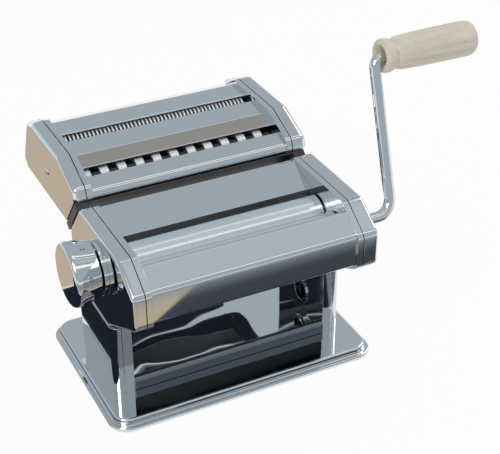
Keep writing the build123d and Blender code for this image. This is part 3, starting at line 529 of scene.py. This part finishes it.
def beech_material(name, light, dark):
    """Pale turned beech: long grain along X, short dark flecks and a soft oiled sheen."""
    material, tree = new_material(name)
    if tree is None:
        return material
    shader = tree.nodes["Principled BSDF"]
    place = add_node(tree, "ShaderNodeTexCoord", (-1400, 0))
    along = add_node(tree, "ShaderNodeMapping", (-1200, 100))
    preset(along, {"Scale": (14, 170, 170)})
    grain = add_node(tree, "ShaderNodeTexNoise", (-1000, 100))
    preset(grain, {"Scale": 1.0, "Detail": 4, "Distortion": 0.6})
    flecks_map = add_node(tree, "ShaderNodeMapping", (-1200, -250))
    preset(flecks_map, {"Scale": (160, 1500, 1500)})
    flecks = add_node(tree, "ShaderNodeTexNoise", (-1000, -250))
    preset(flecks, {"Scale": 1.0, "Detail": 2})
    fleck_mask = add_node(tree, "ShaderNodeMapRange", (-780, -250))
    preset(fleck_mask, {"From Min": 0.60, "From Max": 0.74})
    ramp = add_node(tree, "ShaderNodeValToRGB", (-760, 150))
    ramp.color_ramp.elements[0].position = 0.30
    ramp.color_ramp.elements[0].color = dark
    ramp.color_ramp.elements[1].position = 0.62
    ramp.color_ramp.elements[1].color = light
    mix = add_node(tree, "ShaderNodeMix", (-450, 100), data_type="RGBA", blend_type="MULTIPLY")
    preset(mix, {"B": (0.80, 0.72, 0.62, 1)})
    bump = add_node(tree, "ShaderNodeBump", (-300, -300))
    preset(bump, {"Strength": 0.18, "Distance": 0.0003})
    rough = add_node(tree, "ShaderNodeMapRange", (-450, -120))
    preset(rough, {"To Min": 0.42, "To Max": 0.60})
    connect(tree, [
        (place, "Object", along, "Vector"), (place, "Object", flecks_map, "Vector"),
        (along, "Vector", grain, "Vector"), (flecks_map, "Vector", flecks, "Vector"),
        (grain, "Fac", ramp, "Fac"), (flecks, "Fac", fleck_mask, "Value"),
        (fleck_mask, "Result", mix, "Factor"), (ramp, "Color", mix, "A"),
        (mix, "Result", shader, "Base Color"), (grain, "Fac", rough, "Value"),
        (rough, "Result", shader, "Roughness"), (grain, "Fac", bump, "Height"),
        (bump, "Normal", shader, "Normal"),
    ])
    preset(shader, {"Coat Weight": 0.08})
    return material


def plastic_material(name, colour, low, high, scale, sheen=0.5):
    """Moulded plastic or rubber with a fine texture."""
    material, tree = new_material(name)
    if tree is None:
        return material
    shader = tree.nodes["Principled BSDF"]
    preset(shader, {"Base Color": colour, "Specular IOR Level": sheen})
    place = add_node(tree, "ShaderNodeTexCoord", (-900, 0))
    noise = add_node(tree, "ShaderNodeTexNoise", (-700, 0))
    preset(noise, {"Scale": scale, "Detail": 3})
    spread = add_node(tree, "ShaderNodeMapRange", (-450, 0))
    preset(spread, {"To Min": low, "To Max": high})
    bump = add_node(tree, "ShaderNodeBump", (-250, -250))
    preset(bump, {"Strength": 0.12, "Distance": 0.0002})
    connect(tree, [
        (place, "Object", noise, "Vector"), (noise, "Fac", spread, "Value"),
        (spread, "Result", shader, "Roughness"), (noise, "Fac", bump, "Height"),
        (bump, "Normal", shader, "Normal"),
    ])
    return material


def sheet_chrome(name="polished_sheet", middle=None):
    """Polished sheet; a cover's faces that look towards middle get painted shade and a rough finish."""
    polish = finish().polish
    return chrome_material(
        name, finish().chrome, smooth=polish, smudged=polish + 0.05, wave=0.06, middle=middle)


def head_cover_chrome():
    return sheet_chrome("head_cover", (0, -20 * MM, 100 * MM))


def cutter_cover_chrome():
    return sheet_chrome("cutter_cover", (0, 85 * MM, 125 * MM))


def rod_chrome():
    return chrome_material(
        "polished_rod", finish().chrome, smooth=0.05, smudged=0.12, wave=0.02, wave_scale=30.0,
        smudge_scale=30.0)


def base_chrome():
    return chrome_material(
        "polished_base", finish().chrome, smooth=0.03, smudged=0.08, wave=0.4, wave_scale=22.0)


# Chrome of the lower bar with a dark colour: painted dark reflection.
def bar_steel():
    return chrome_material("bar_steel", finish().bar, smooth=0.2, smudged=0.32, wave=0.05)


def ground_steel():
    return turned_steel_material("ground_steel", finish().steel)


def satin_alloy():
    return turned_steel_material("satin_alloy", finish().satin, metallic=0.7, low=0.22, high=0.34)


# Ground steel darkened as painted shade, for the grooves and the front cutter discs.
def dark_steel():
    return turned_steel_material("dark_steel", finish().dark_steel, low=0.25, high=0.4)


def bronze():
    return turned_steel_material("bearing_bronze", (0.55, 0.40, 0.22, 1))


def black_plastic():
    return plastic_material("black_plastic", finish().black, low=0.35, high=0.55, scale=700, sheen=0.02)


def number_ink():
    return plastic_material("number_ink", (0.05, 0.052, 0.058, 1), low=0.4, high=0.6, scale=900)


def foot_rubber():
    return plastic_material("foot_rubber", (0.02, 0.02, 0.02, 1), low=0.7, high=0.9, scale=500)


class PASTA_OT_sheets(bpy.types.Operator):
    """Polished sheet steel: base, side frames, covers and caps"""

    bl_idname = "pasta.sheets"
    bl_label = "Polished sheets"

    def execute(self, context):
        special = {
            "base_plate": base_chrome, "lower_tie_bar": bar_steel, "front_cover": head_cover_chrome,
            "rear_cover": head_cover_chrome, "cutter_rear_cover": cutter_cover_chrome,
            "cutter_middle_cover": cutter_cover_chrome, "cutter_front_cover": cutter_cover_chrome,
        }
        for node in CHROME_SHEETS:
            material = special.get(node, sheet_chrome)()
            link_piece(f"{node}_polished", polished_mesh(node, sizes().edge), material, node)
        return {"FINISHED"}


class PASTA_OT_rollers(bpy.types.Operator):
    """Smooth rollers with rounded shoulders"""

    bl_idname = "pasta.rollers"
    bl_label = "Smooth rollers"

    def execute(self, context):
        shoulder = 0.15 * MM
        for node in ("front_roller", "rear_roller"):
            mesh = polished_mesh(node, shoulder)
            link_piece(f"{node}_ground", mesh, ground_steel(), node)
        return {"FINISHED"}


def cutter_tree():
    """Geometry Nodes tree: discs in a row along X on a core."""
    tree, fresh = new_tree(
        "CutterDiscs", "GeometryNodeTree",
        [("Geometry", "Geometry"), ("Count", "Int"), ("Sides", "Int"), ("Pitch", "Float"),
         ("Disc Radius", "Float"), ("Disc Width", "Float"), ("First", "Vector"), ("Finish", "Material"),
         ("Groove Shade", "Material")],
        [("Geometry", "Geometry")])
    if not fresh:
        return tree
    start = add_node(tree, "NodeGroupInput", (-900, 0))
    end = add_node(tree, "NodeGroupOutput", (900, 0))
    step = add_node(tree, "ShaderNodeCombineXYZ", (-650, -150))
    row = add_node(tree, "GeometryNodeMeshLine", (-450, 0), mode="OFFSET")
    disc = add_node(tree, "GeometryNodeMeshCylinder", (-450, -300))
    turn = add_node(tree, "GeometryNodeTransform", (-250, -300))
    preset(turn, {"Rotation": (0, math.pi / 2, 0)})
    copies = add_node(tree, "GeometryNodeInstanceOnPoints", (0, 0))
    real = add_node(tree, "GeometryNodeRealizeInstances", (200, 0))
    both = add_node(tree, "GeometryNodeJoinGeometry", (400, 0))
    paint = add_node(tree, "GeometryNodeSetMaterial", (300, 0))
    # The core between the discs takes the groove material, which carries painted shade.
    core_paint = add_node(tree, "GeometryNodeSetMaterial", (300, -300))
    connect(tree, [
        (start, "Pitch", step, "X"), (start, "Count", row, "Count"),
        (start, "First", row, "Start Location"), (step, "Vector", row, "Offset"),
        (start, "Sides", disc, "Vertices"), (start, "Disc Radius", disc, "Radius"),
        (start, "Disc Width", disc, "Depth"), (disc, "Mesh", turn, "Geometry"),
        (row, "Mesh", copies, "Points"), (turn, "Geometry", copies, "Instance"),
        (copies, "Instances", real, "Geometry"), (real, "Geometry", paint, "Geometry"),
        (start, "Geometry", core_paint, "Geometry"), (start, "Finish", paint, "Material"),
        (start, "Groove Shade", core_paint, "Material"), (core_paint, "Geometry", both, "Geometry"),
        (paint, "Geometry", both, "Geometry"), (both, "Geometry", end, "Geometry"),
    ])
    return tree


def with_nodes(mesh, tree, values):
    """Mesh that a Geometry Nodes tree makes from a start mesh and named inputs."""
    carrier = linked("carrier", mesh)
    modifier = carrier.modifiers.new("rule", "NODES")
    modifier.node_group = tree
    for item in tree.interface.items_tree:
        if item.in_out == "INPUT" and item.name in values:
            modifier[item.identifier] = values[item.name]
    return baked(carrier)


class PASTA_OT_cutters(bpy.types.Operator):
    """Cutter rollers: rows of discs for fine and wide noodles"""

    bl_idname = "pasta.cutters"
    bl_label = "Cutter rollers"

    def execute(self, context):
        core_end, core_radius, journal = 74 * MM, 6.0 * MM, 4 * MM
        for node, count, pitch, width, middle in CUTTER_ROWS:
            low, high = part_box(node)
            place = axis_of(low, high)
            core = lathe(
                [(low.x, 0), (low.x, journal), (-core_end, journal), (-core_end, core_radius),
                 (core_end, core_radius), (core_end, journal), (high.x, journal), (high.x, 0)],
                place, sizes().disc_sides)
            first = Vector(((middle - pitch * (count - 1) / 2) * MM, place[0], place[1]))
            # Painted shade: the front discs take the darkened steel and the rear discs the pale satin,
            # though both rows are the same steel.
            disc_finish = satin_alloy() if node.endswith("rear") else dark_steel()
            mesh = with_nodes(core, cutter_tree(), {
                "Count": count, "Sides": sizes().disc_sides, "Pitch": pitch * MM,
                "Disc Radius": (high.z - low.z) / 2, "Disc Width": width * MM, "First": first,
                "Finish": disc_finish, "Groove Shade": dark_steel(),
            })
            mesh.shade_smooth()
            mesh.set_sharp_from_angle(angle=math.radians(35))
            link_piece(f"{node}_discs", mesh, None, node)
        return {"FINISHED"}


class PASTA_OT_knob(bpy.types.Operator):
    """Setting knob: tapered drum, face plate and the numbers around it"""

    bl_idname = "pasta.knob"
    bl_label = "Setting knob"
    back_radius = 20.0

    def execute(self, context):
        low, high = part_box("thickness_knob")
        place = axis_of(low, high)
        back, front = high.x / MM, low.x / MM
        face, hollow, rear_wall, bore = 2.0, 15.0, 2.3, 3.06
        front_radius, back_round, front_round = 23.4, 1.0, 5.5
        points = [
            (front + face, 0), (front + face, hollow), (back - rear_wall, hollow), (back - rear_wall, bore),
            (back, bore), (back, self.back_radius), (front, front_radius), (front, 0),
        ]
        rounded = rounded_profile(points, [0, 0, 0, 0, back_round, front_round], 12)
        drum = lathe([(x * MM, radius * MM) for x, radius in rounded], place, 160)
        link_piece("knob_drum", drum, rod_chrome(), "thickness_knob", "knob_cap")
        self.numbers(place, back)
        return {"FINISHED"}

    def numbers(self, place, back):
        """Ten numbers around the drum, a setting apart."""
        slope = math.atan2(3.3, 19.3)
        inset, ink = 8.0, 0.06 * MM
        first_angle, setting = 165, 30
        middle = Vector(((back - inset) * MM, place[0], place[1]))
        radius = (self.back_radius + inset * math.tan(slope)) * MM
        meshes = []
        for number in range(10):
            text = bpy.data.curves.new("number", "FONT")
            text.body = str(number)
            text.size = sizes().digit
            text.align_x = "CENTER"
            text.align_y = "CENTER"
            text.extrude = ink
            mesh = baked(linked("number", text))
            bpy.data.curves.remove(text)
            angle = math.radians(first_angle - setting * number)
            spoke = Vector((0, math.cos(angle), math.sin(angle)))
            around = Vector((0, -math.sin(angle), math.cos(angle)))
            outward = (spoke * math.cos(slope) + X_AXIS * math.sin(slope)).normalized()
            upright = outward.cross(around).normalized()
            turn = Matrix((around, upright, outward)).transposed().to_4x4()
            turn.translation = middle + spoke * radius
            mesh.transform(turn)
            meshes.append(mesh)
        whole = joined(meshes, "knob_numbers")
        link_detail("knob_numbers", whole, number_ink(), "knob")


class PASTA_OT_crank(bpy.types.Operator):
    """Crank rod with its bends, and the turned beech grip"""

    bl_idname = "pasta.crank"
    bl_label = "Crank and grip"

    def execute(self, context):
        self.rod()
        self.grip()
        return {"FINISHED"}

    def rod(self):
        """Rod with two bends, and the square tang that goes into the socket."""
        lean = math.radians(20)
        foot = Vector((0, -50 * MM, 107 * MM))
        start, elbow, top, throw = 88.3 * MM, 120.5 * MM, 123.5 * MM, 111 * MM
        rod_radius, tang_length, tang_across = 4.1 * MM, 15.0 * MM, 6 * MM
        bend_steps = 16
        up = Vector((0, math.sin(lean), math.cos(lean)))
        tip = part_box("crank_rod")[1].x
        corners = [
            (foot + X_AXIS * start, 0),
            (foot + X_AXIS * elbow, sizes().crank_bend_low),
            (foot + X_AXIS * top + up * throw, sizes().crank_bend_high),
            (foot + X_AXIS * tip + up * throw, 0),
        ]
        path = [corners[0][0]]
        for (before, _), (corner, radius), (after, _) in zip(corners, corners[1:], corners[2:]):
            one = (before - corner).normalized()
            two = (after - corner).normalized()
            half = one.angle(two) / 2
            reach = radius / math.tan(half)
            centre = corner + (one + two).normalized() * radius / math.sin(half)
            first = corner + one * reach - centre
            turn = math.pi - 2 * half
            axis = first.cross(corner + two * reach - centre).normalized()
            for step in range(bend_steps + 1):
                path.append(centre + Matrix.Rotation(turn * step / bend_steps, 3, axis) @ first)
        path.append(corners[-1][0])
        rod = swept_rod(path, rod_radius, 48)
        tang = bpy.data.meshes.new("tang")
        form = bmesh.new()
        bmesh.ops.create_cube(form, size=1.0)
        bmesh.ops.transform(form, verts=form.verts, matrix=Matrix.LocRotScale(
            foot + X_AXIS * (start - tang_length / 2), Matrix.Rotation(-lean, 3, "X").to_quaternion(),
            Vector((tang_length, tang_across, tang_across))))
        form.to_mesh(tang)
        form.free()
        link_piece("crank_bent_rod", joined([rod, tang], "crank"), rod_chrome(), "crank_rod")

    def grip(self):
        """Turned grip with a bore for the rod that widens at the crank's side."""
        low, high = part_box("crank_grip")
        bore, bore_end = 4.16, 60
        hole = [(bore_end, 0), (bore_end, bore), (8, bore), (4, 5.6), (0.6, 7.8), (0, 8.4)]
        profile = [(low.x + along * MM, radius * MM) for along, radius in hole]
        profile += [(min(low.x + along * MM, high.x), radius * MM) for along, radius in GRIP_OUTSIDE]
        mesh = lathe(profile, axis_of(low, high), 96, sharp=50)
        link_piece("beech_grip", mesh, beech_material("beech", finish().wood, finish().wood_dark),
                   "crank_grip", "grip_plug")


def screw_tree():
    """Geometry Nodes tree: a domed head with a slot, on every point."""
    tree, fresh = new_tree(
        "SlottedHeads", "GeometryNodeTree",
        [("Geometry", "Geometry"), ("Head Radius", "Float"), ("Head Height", "Float"),
         ("Slot Width", "Float"), ("Facing", "Rotation"), ("Finish", "Material")],
        [("Geometry", "Geometry")])
    if not fresh:
        return tree
    slot_length = 20 * MM
    start = add_node(tree, "NodeGroupInput", (-1200, 0))
    end = add_node(tree, "NodeGroupOutput", (900, 0))
    ball = add_node(tree, "GeometryNodeMeshUVSphere", (-900, -200))
    preset(ball, {"Segments": 28, "Rings": 14, "Radius": 1.0})
    squash = add_node(tree, "ShaderNodeCombineXYZ", (-900, -450))
    shape = add_node(tree, "GeometryNodeTransform", (-650, -200))
    slot_size = add_node(tree, "ShaderNodeCombineXYZ", (-900, -700))
    preset(slot_size, {"X": slot_length})
    slot = add_node(tree, "GeometryNodeMeshCube", (-650, -700))
    slot_lift = add_node(tree, "ShaderNodeCombineXYZ", (-650, -950))
    lift = add_node(tree, "GeometryNodeTransform", (-450, -700))
    cut = add_node(tree, "GeometryNodeMeshBoolean", (-200, -300), operation="DIFFERENCE")
    copies = add_node(tree, "GeometryNodeInstanceOnPoints", (100, 0))
    real = add_node(tree, "GeometryNodeRealizeInstances", (300, 0))
    paint = add_node(tree, "GeometryNodeSetMaterial", (600, 0))
    connect(tree, [
        (start, "Head Radius", squash, "X"), (start, "Head Radius", squash, "Y"),
        (start, "Head Height", squash, "Z"), (squash, "Vector", shape, "Scale"),
        (ball, "Mesh", shape, "Geometry"), (start, "Slot Width", slot_size, "Y"),
        (start, "Head Height", slot_size, "Z"), (slot_size, "Vector", slot, "Size"),
        (start, "Head Height", slot_lift, "Z"), (slot_lift, "Vector", lift, "Translation"),
        (slot, "Mesh", lift, "Geometry"), (shape, "Geometry", cut, "Mesh 1"),
        (lift, "Geometry", cut, "Mesh 2"), (start, "Geometry", copies, "Points"),
        (cut, "Mesh", copies, "Instance"), (start, "Facing", copies, "Rotation"),
        (copies, "Instances", real, "Geometry"), (real, "Geometry", paint, "Geometry"),
        (start, "Finish", paint, "Material"), (paint, "Geometry", end, "Geometry"),
    ])
    return tree


class PASTA_OT_screws(bpy.types.Operator):
    """Slotted screw heads on the end covers and cutter caps"""

    bl_idname = "pasta.screws"
    bl_label = "Screws"

    def execute(self, context):
        faces = {-1: -89.0 * MM, 1: 91.7 * MM}
        head_radius, head_height, slot_turn = 2.7 * MM, 1.3 * MM, 0.35
        for node, sides in SCREW_PLACES.items():
            meshes = []
            for side, places in sides.items():
                points = bpy.data.meshes.new("points")
                points.from_pydata([(faces[side], y * MM, z * MM) for y, z in places], [], [])
                mesh = with_nodes(points, screw_tree(), {
                    "Head Radius": head_radius, "Head Height": head_height,
                    "Slot Width": sizes().screw_slot, "Facing": (slot_turn, side * math.pi / 2, 0),
                    "Finish": rod_chrome(),
                })
                mesh.shade_smooth()
                mesh.set_sharp_from_angle(angle=math.radians(40))
                meshes.append(mesh)
            link_piece(f"{node}_heads", joined(meshes, node), rod_chrome(), node)
        return {"FINISHED"}


class PASTA_OT_inner_works(bpy.types.Operator):
    """Finishes for the plastic guides, bearings, gears and shafts that keep their CAD shapes"""

    bl_idname = "pasta.inner_works"
    bl_label = "Guides and inner works"

    def execute(self, context):
        groups = (
            (BLACK_PARTS, black_plastic()), (BRONZE_PARTS, bronze()), (STEEL_PARTS, ground_steel()),
            (("rubber_feet",), foot_rubber()),
        )
        for names, material in groups:
            for name in names:
                data = frame["nodes"][name].data
                data.materials.clear()
                data.materials.append(material)
        return {"FINISHED"}


def rectangle(x, y, z):
    """Corners of a card between two x, two y and two z; z goes with y."""
    return [(x[0], y[0], z[0]), (x[1], y[0], z[0]), (x[1], y[1], z[1]), (x[0], y[1], z[1])]


def stage_plane(name, corners, material):
    """A flat card of the studio."""
    mesh = bpy.data.meshes.new(name)
    mesh.from_pydata(corners, [], [tuple(range(len(corners)))])
    mesh.materials.append(material)
    card = linked(name, mesh)
    return card


def card_material(name, colour, strength=1.0):
    """A lit studio card of one colour."""
    material, tree = new_material(name)
    if tree is None:
        return material
    tree.nodes.remove(tree.nodes["Principled BSDF"])
    glow = add_node(tree, "ShaderNodeEmission", (0, 0))
    preset(glow, {"Color": colour, "Strength": strength})
    connect(tree, [(glow, "Emission", tree.nodes["Material Output"], "Surface")])
    return material


def fade_material(name, colour, clear, full):
    """A lit card that fades in along y, from clear to full."""
    material, tree = new_material(name)
    if tree is None:
        return material
    tree.nodes.remove(tree.nodes["Principled BSDF"])
    place = add_node(tree, "ShaderNodeTexCoord", (-700, 200))
    split = add_node(tree, "ShaderNodeSeparateXYZ", (-500, 200))
    share = add_node(tree, "ShaderNodeMapRange", (-300, 200), interpolation_type="SMOOTHSTEP")
    preset(share, {"From Min": clear, "From Max": full})
    glow = add_node(tree, "ShaderNodeEmission", (-100, -150))
    preset(glow, {"Color": colour})
    empty = add_node(tree, "ShaderNodeBsdfTransparent", (-100, 0))
    mix = add_node(tree, "ShaderNodeMixShader", (150, 0))
    connect(tree, [
        (place, "Object", split, "Vector"), (split, "Y", share, "Value"), (share, "Result", mix, "Fac"),
        (empty, "BSDF", mix, 1), (glow, "Emission", mix, 2),
        (mix, "Shader", tree.nodes["Material Output"], "Surface"),
    ])
    return material


def floor_material():
    """Pale floor: plain white to the camera, still showing a soft shadow."""
    material, tree = new_material("pale_floor")
    if tree is None:
        return material
    shader = tree.nodes["Principled BSDF"]
    preset(shader, {"Base Color": (0.82, 0.82, 0.82, 1), "Roughness": 0.9, "Specular IOR Level": 0.0})
    glow = add_node(tree, "ShaderNodeEmission", (0, -400))
    preset(glow, {"Color": (1, 1, 1, 1), "Strength": 1.0})
    path = add_node(tree, "ShaderNodeLightPath", (-400, 300))
    share = add_node(tree, "ShaderNodeMath", (-200, 300), operation="MULTIPLY")
    preset(share, {1: 0.95})
    mix = add_node(tree, "ShaderNodeMixShader", (250, 0))
    seen = add_node(tree, "ShaderNodeMath", (-300, 450), operation="ADD")
    through = add_node(tree, "ShaderNodeMath", (-250, 600), operation="ADD", use_clamp=True)
    connect(tree, [
        (path, "Is Camera Ray", seen, 0), (path, "Is Glossy Ray", seen, 1), (seen, "Value", through, 0),
        (path, "Is Transmission Ray", through, 1), (through, "Value", share, 0),
        (share, "Value", mix, "Fac"), (shader, "BSDF", mix, 1), (glow, "Emission", mix, 2),
        (mix, "Shader", tree.nodes["Material Output"], "Surface"),
    ])
    return material


def mirror_only(card):
    """The card shows only in reflections."""
    card.visible_camera = False
    card.visible_diffuse = False
    card.visible_shadow = False
    card.visible_transmission = False


class PASTA_OT_stage(bpy.types.Operator):
    """Pale floor, soft lamps, reflection cards and the camera"""

    bl_idname = "pasta.stage"
    bl_label = "Studio"

    def execute(self, context):
        scene = context.scene
        scene.view_settings.view_transform = "Standard"
        reach = (-15, 15)
        stage_plane("floor", rectangle(reach, reach, (0, 0)), floor_material())
        self.room(scene)
        self.cards()
        self.lamp("key_lamp", (-1.3, -0.9, 1.5), studio().key)
        self.lamp("side_lamp", (1.5, 0.3, 1.2), studio().fill)
        self.camera(scene)
        return {"FINISHED"}

    def room(self, scene):
        """Plain grey world."""
        world = bpy.data.worlds.new("room")
        world.use_nodes = True
        preset(world.node_tree.nodes["Background"], {"Color": studio().dome, "Strength": 1.0})
        scene.world = world

    def cards(self):
        """Cards that only the metal mirrors: some just above the floor, some higher up."""
        dark = card_material("dark_card", studio().dark)
        beige = card_material("beige_card", studio().beige)
        bright = card_material("bright_card", (0.94, 0.97, 1, 1), 1.25)
        blue = card_material("blue_card", (0.52, 0.74, 1.0, 1), 1.15)
        leg_grey = card_material("leg_grey_card", (0.23, 0.225, 0.25, 1))
        black = card_material("black_card", (0.014, 0.017, 0.026, 1))
        pale = card_material("pale_card", (0.60, 0.64, 0.69, 1))
        cool = card_material("cool_card", (0.56, 0.61, 0.66, 1))
        warm_grey = card_material("warm_grey_card", (0.37, 0.35, 0.31, 1))
        fade_start, fade_end = -0.212, -0.246
        fade = fade_material("fade_card", (0.34, 0.365, 0.40, 1), fade_start, fade_end)
        above = 0.001
        middle, high = (0.4, 0.4), (0.8, 0.8)
        front, leg_front, leg_back = -0.410, -0.150, -0.0705
        floor_cards = (
            ("front_floor_dark", dark, [(-0.100, leg_front), (0.280, front), (0.280, leg_front)]),
            ("left_leg_grey", leg_grey,
             [(-0.116, leg_front), (-0.016, leg_front), (-0.055, leg_back), (-0.116, leg_back)]),
            ("bay_floor_dark", black,
             [(-0.016, leg_front), (0.140, leg_front), (0.101, leg_back), (-0.055, leg_back)]),
            ("right_leg_grey", leg_grey,
             [(0.140, leg_front), (0.220, leg_front), (0.220, leg_back), (0.101, leg_back)]),
            ("rear_floor_dark", black, [(0.0, 0.160), (0.340, 0.160), (0.340, 0.550), (0.0, 0.550)]),
            ("front_floor_warm", beige,
             [(-0.100, leg_front), (-0.7, leg_front), (-0.7, -0.9), (0.280, -0.9), (0.280, front)]),
            ("left_floor_dark", black,
             [(-0.40, -0.137), (-0.1032, -0.137), (-0.1032, 0.115), (-0.40, 0.115)]),
            ("left_floor_warm", beige, [(-0.60, 0.117), (-0.106, 0.117), (-0.106, 0.60), (-0.60, 0.60)]),
        )
        for name, material, corners in floor_cards:
            mirror_only(stage_plane(name, [(x, y, above) for x, y in corners], material))
        bay_y = 0.165
        bay_outline = ((-0.045, 0.05), (0.088, 0.05), (0.088, 0.118), (0.05, 0.126), (-0.045, 0.130))
        raised_cards = (
            ("front_floor_fade", fade, rectangle((-0.7, 0.5), (-0.9, fade_start), (2 * above, 2 * above))),
            ("bay_dark", black, [(x, bay_y, z) for x, z in bay_outline]),
            ("slope_light", pale, rectangle((0.05, 0.52), (-0.265, -0.212), high)),
            ("front_light", cool, rectangle((-0.1, 0.62), (-0.36, -0.275), high)),
            ("slot_warm", warm_grey, rectangle((-0.02, 0.22), (-0.062, -0.034), middle)),
            ("roller_light", bright, rectangle((-0.2, 0.7), (-0.13, 0.03), high)),
            ("lip_light", bright, rectangle((-0.8, 1.8), (-0.86, -0.70), (1.0, 1.13))),
            ("left_light", blue, rectangle((-1.9, -0.75), (1.5, 1.5), (0.25, 0.62))),
        )
        for name, material, corners in raised_cards:
            mirror_only(stage_plane(name, corners, material))

    def lamp(self, name, place, power):
        """A soft square lamp that looks at the machine."""
        target = Vector((0, 0, 0.1))
        data = bpy.data.lights.new(name, "AREA")
        data.shape = "SQUARE"
        data.size = 0.9
        data.energy = power
        lamp = linked(name, data)
        lamp.location = place
        lamp.rotation_euler = (target - Vector(place)).to_track_quat("-Z", "Y").to_euler()

    def camera(self, scene):
        """Camera of the photo, from its place and three angles."""
        data = bpy.data.cameras.new("photo_camera")
        data.sensor_fit = "HORIZONTAL"
        data.sensor_width = 36.0
        data.lens = studio().lens
        data.clip_start = 0.01
        azimuth, elevation, roll = studio().azimuth, studio().elevation, studio().roll
        back = Vector((math.sin(azimuth) * math.cos(elevation), -math.cos(azimuth) * math.cos(elevation),
                       math.sin(elevation)))
        right = (-back).cross(Vector((0, 0, 1))).normalized()
        up = right.cross(-back).normalized()
        tilted_right = right * math.cos(roll) + up * math.sin(roll)
        tilted_up = up * math.cos(roll) - right * math.sin(roll)
        turn = Matrix((tilted_right, tilted_up, back)).transposed().to_4x4()
        turn.translation = Vector(studio().camera_place)
        camera = linked("photo_camera", data)
        camera.matrix_world = turn
        scene.camera = camera


class PASTA_PT_panel(bpy.types.Panel):
    """Lists the steps that dress the machine"""

    bl_idname = "PASTA_PT_panel"
    bl_label = "Pasta Machine"
    bl_space_type = "VIEW_3D"
    bl_region_type = "UI"
    bl_category = "Pasta Machine"

    def draw(self, context):
        layout = self.layout
        for group in (finish(), sizes(), studio()):
            box = layout.box()
            for key in group.__annotations__:
                box.prop(group, key)
        for step in STEPS:
            layout.operator(step.bl_idname)


STEPS = (
    PASTA_OT_stage, PASTA_OT_sheets, PASTA_OT_rollers, PASTA_OT_cutters, PASTA_OT_knob, PASTA_OT_crank,
    PASTA_OT_screws, PASTA_OT_inner_works,
)
GROUPS = (PastaFinish, PastaSizes, PastaStudio)


def register():
    for cls in GROUPS + STEPS + (PASTA_PT_panel,):
        bpy.utils.register_class(cls)
    bpy.types.Scene.pasta_finish = PointerProperty(type=PastaFinish)
    bpy.types.Scene.pasta_sizes = PointerProperty(type=PastaSizes)
    bpy.types.Scene.pasta_studio = PointerProperty(type=PastaStudio)


def unregister():
    del bpy.types.Scene.pasta_studio
    del bpy.types.Scene.pasta_sizes
    del bpy.types.Scene.pasta_finish
    for cls in reversed(GROUPS + STEPS + (PASTA_PT_panel,)):
        bpy.utils.unregister_class(cls)


def main():
    register()
    for step in STEPS:
        area, name = step.bl_idname.split(".")
        getattr(getattr(bpy.ops, area), name)()


if __name__ == "__main__":
    main()
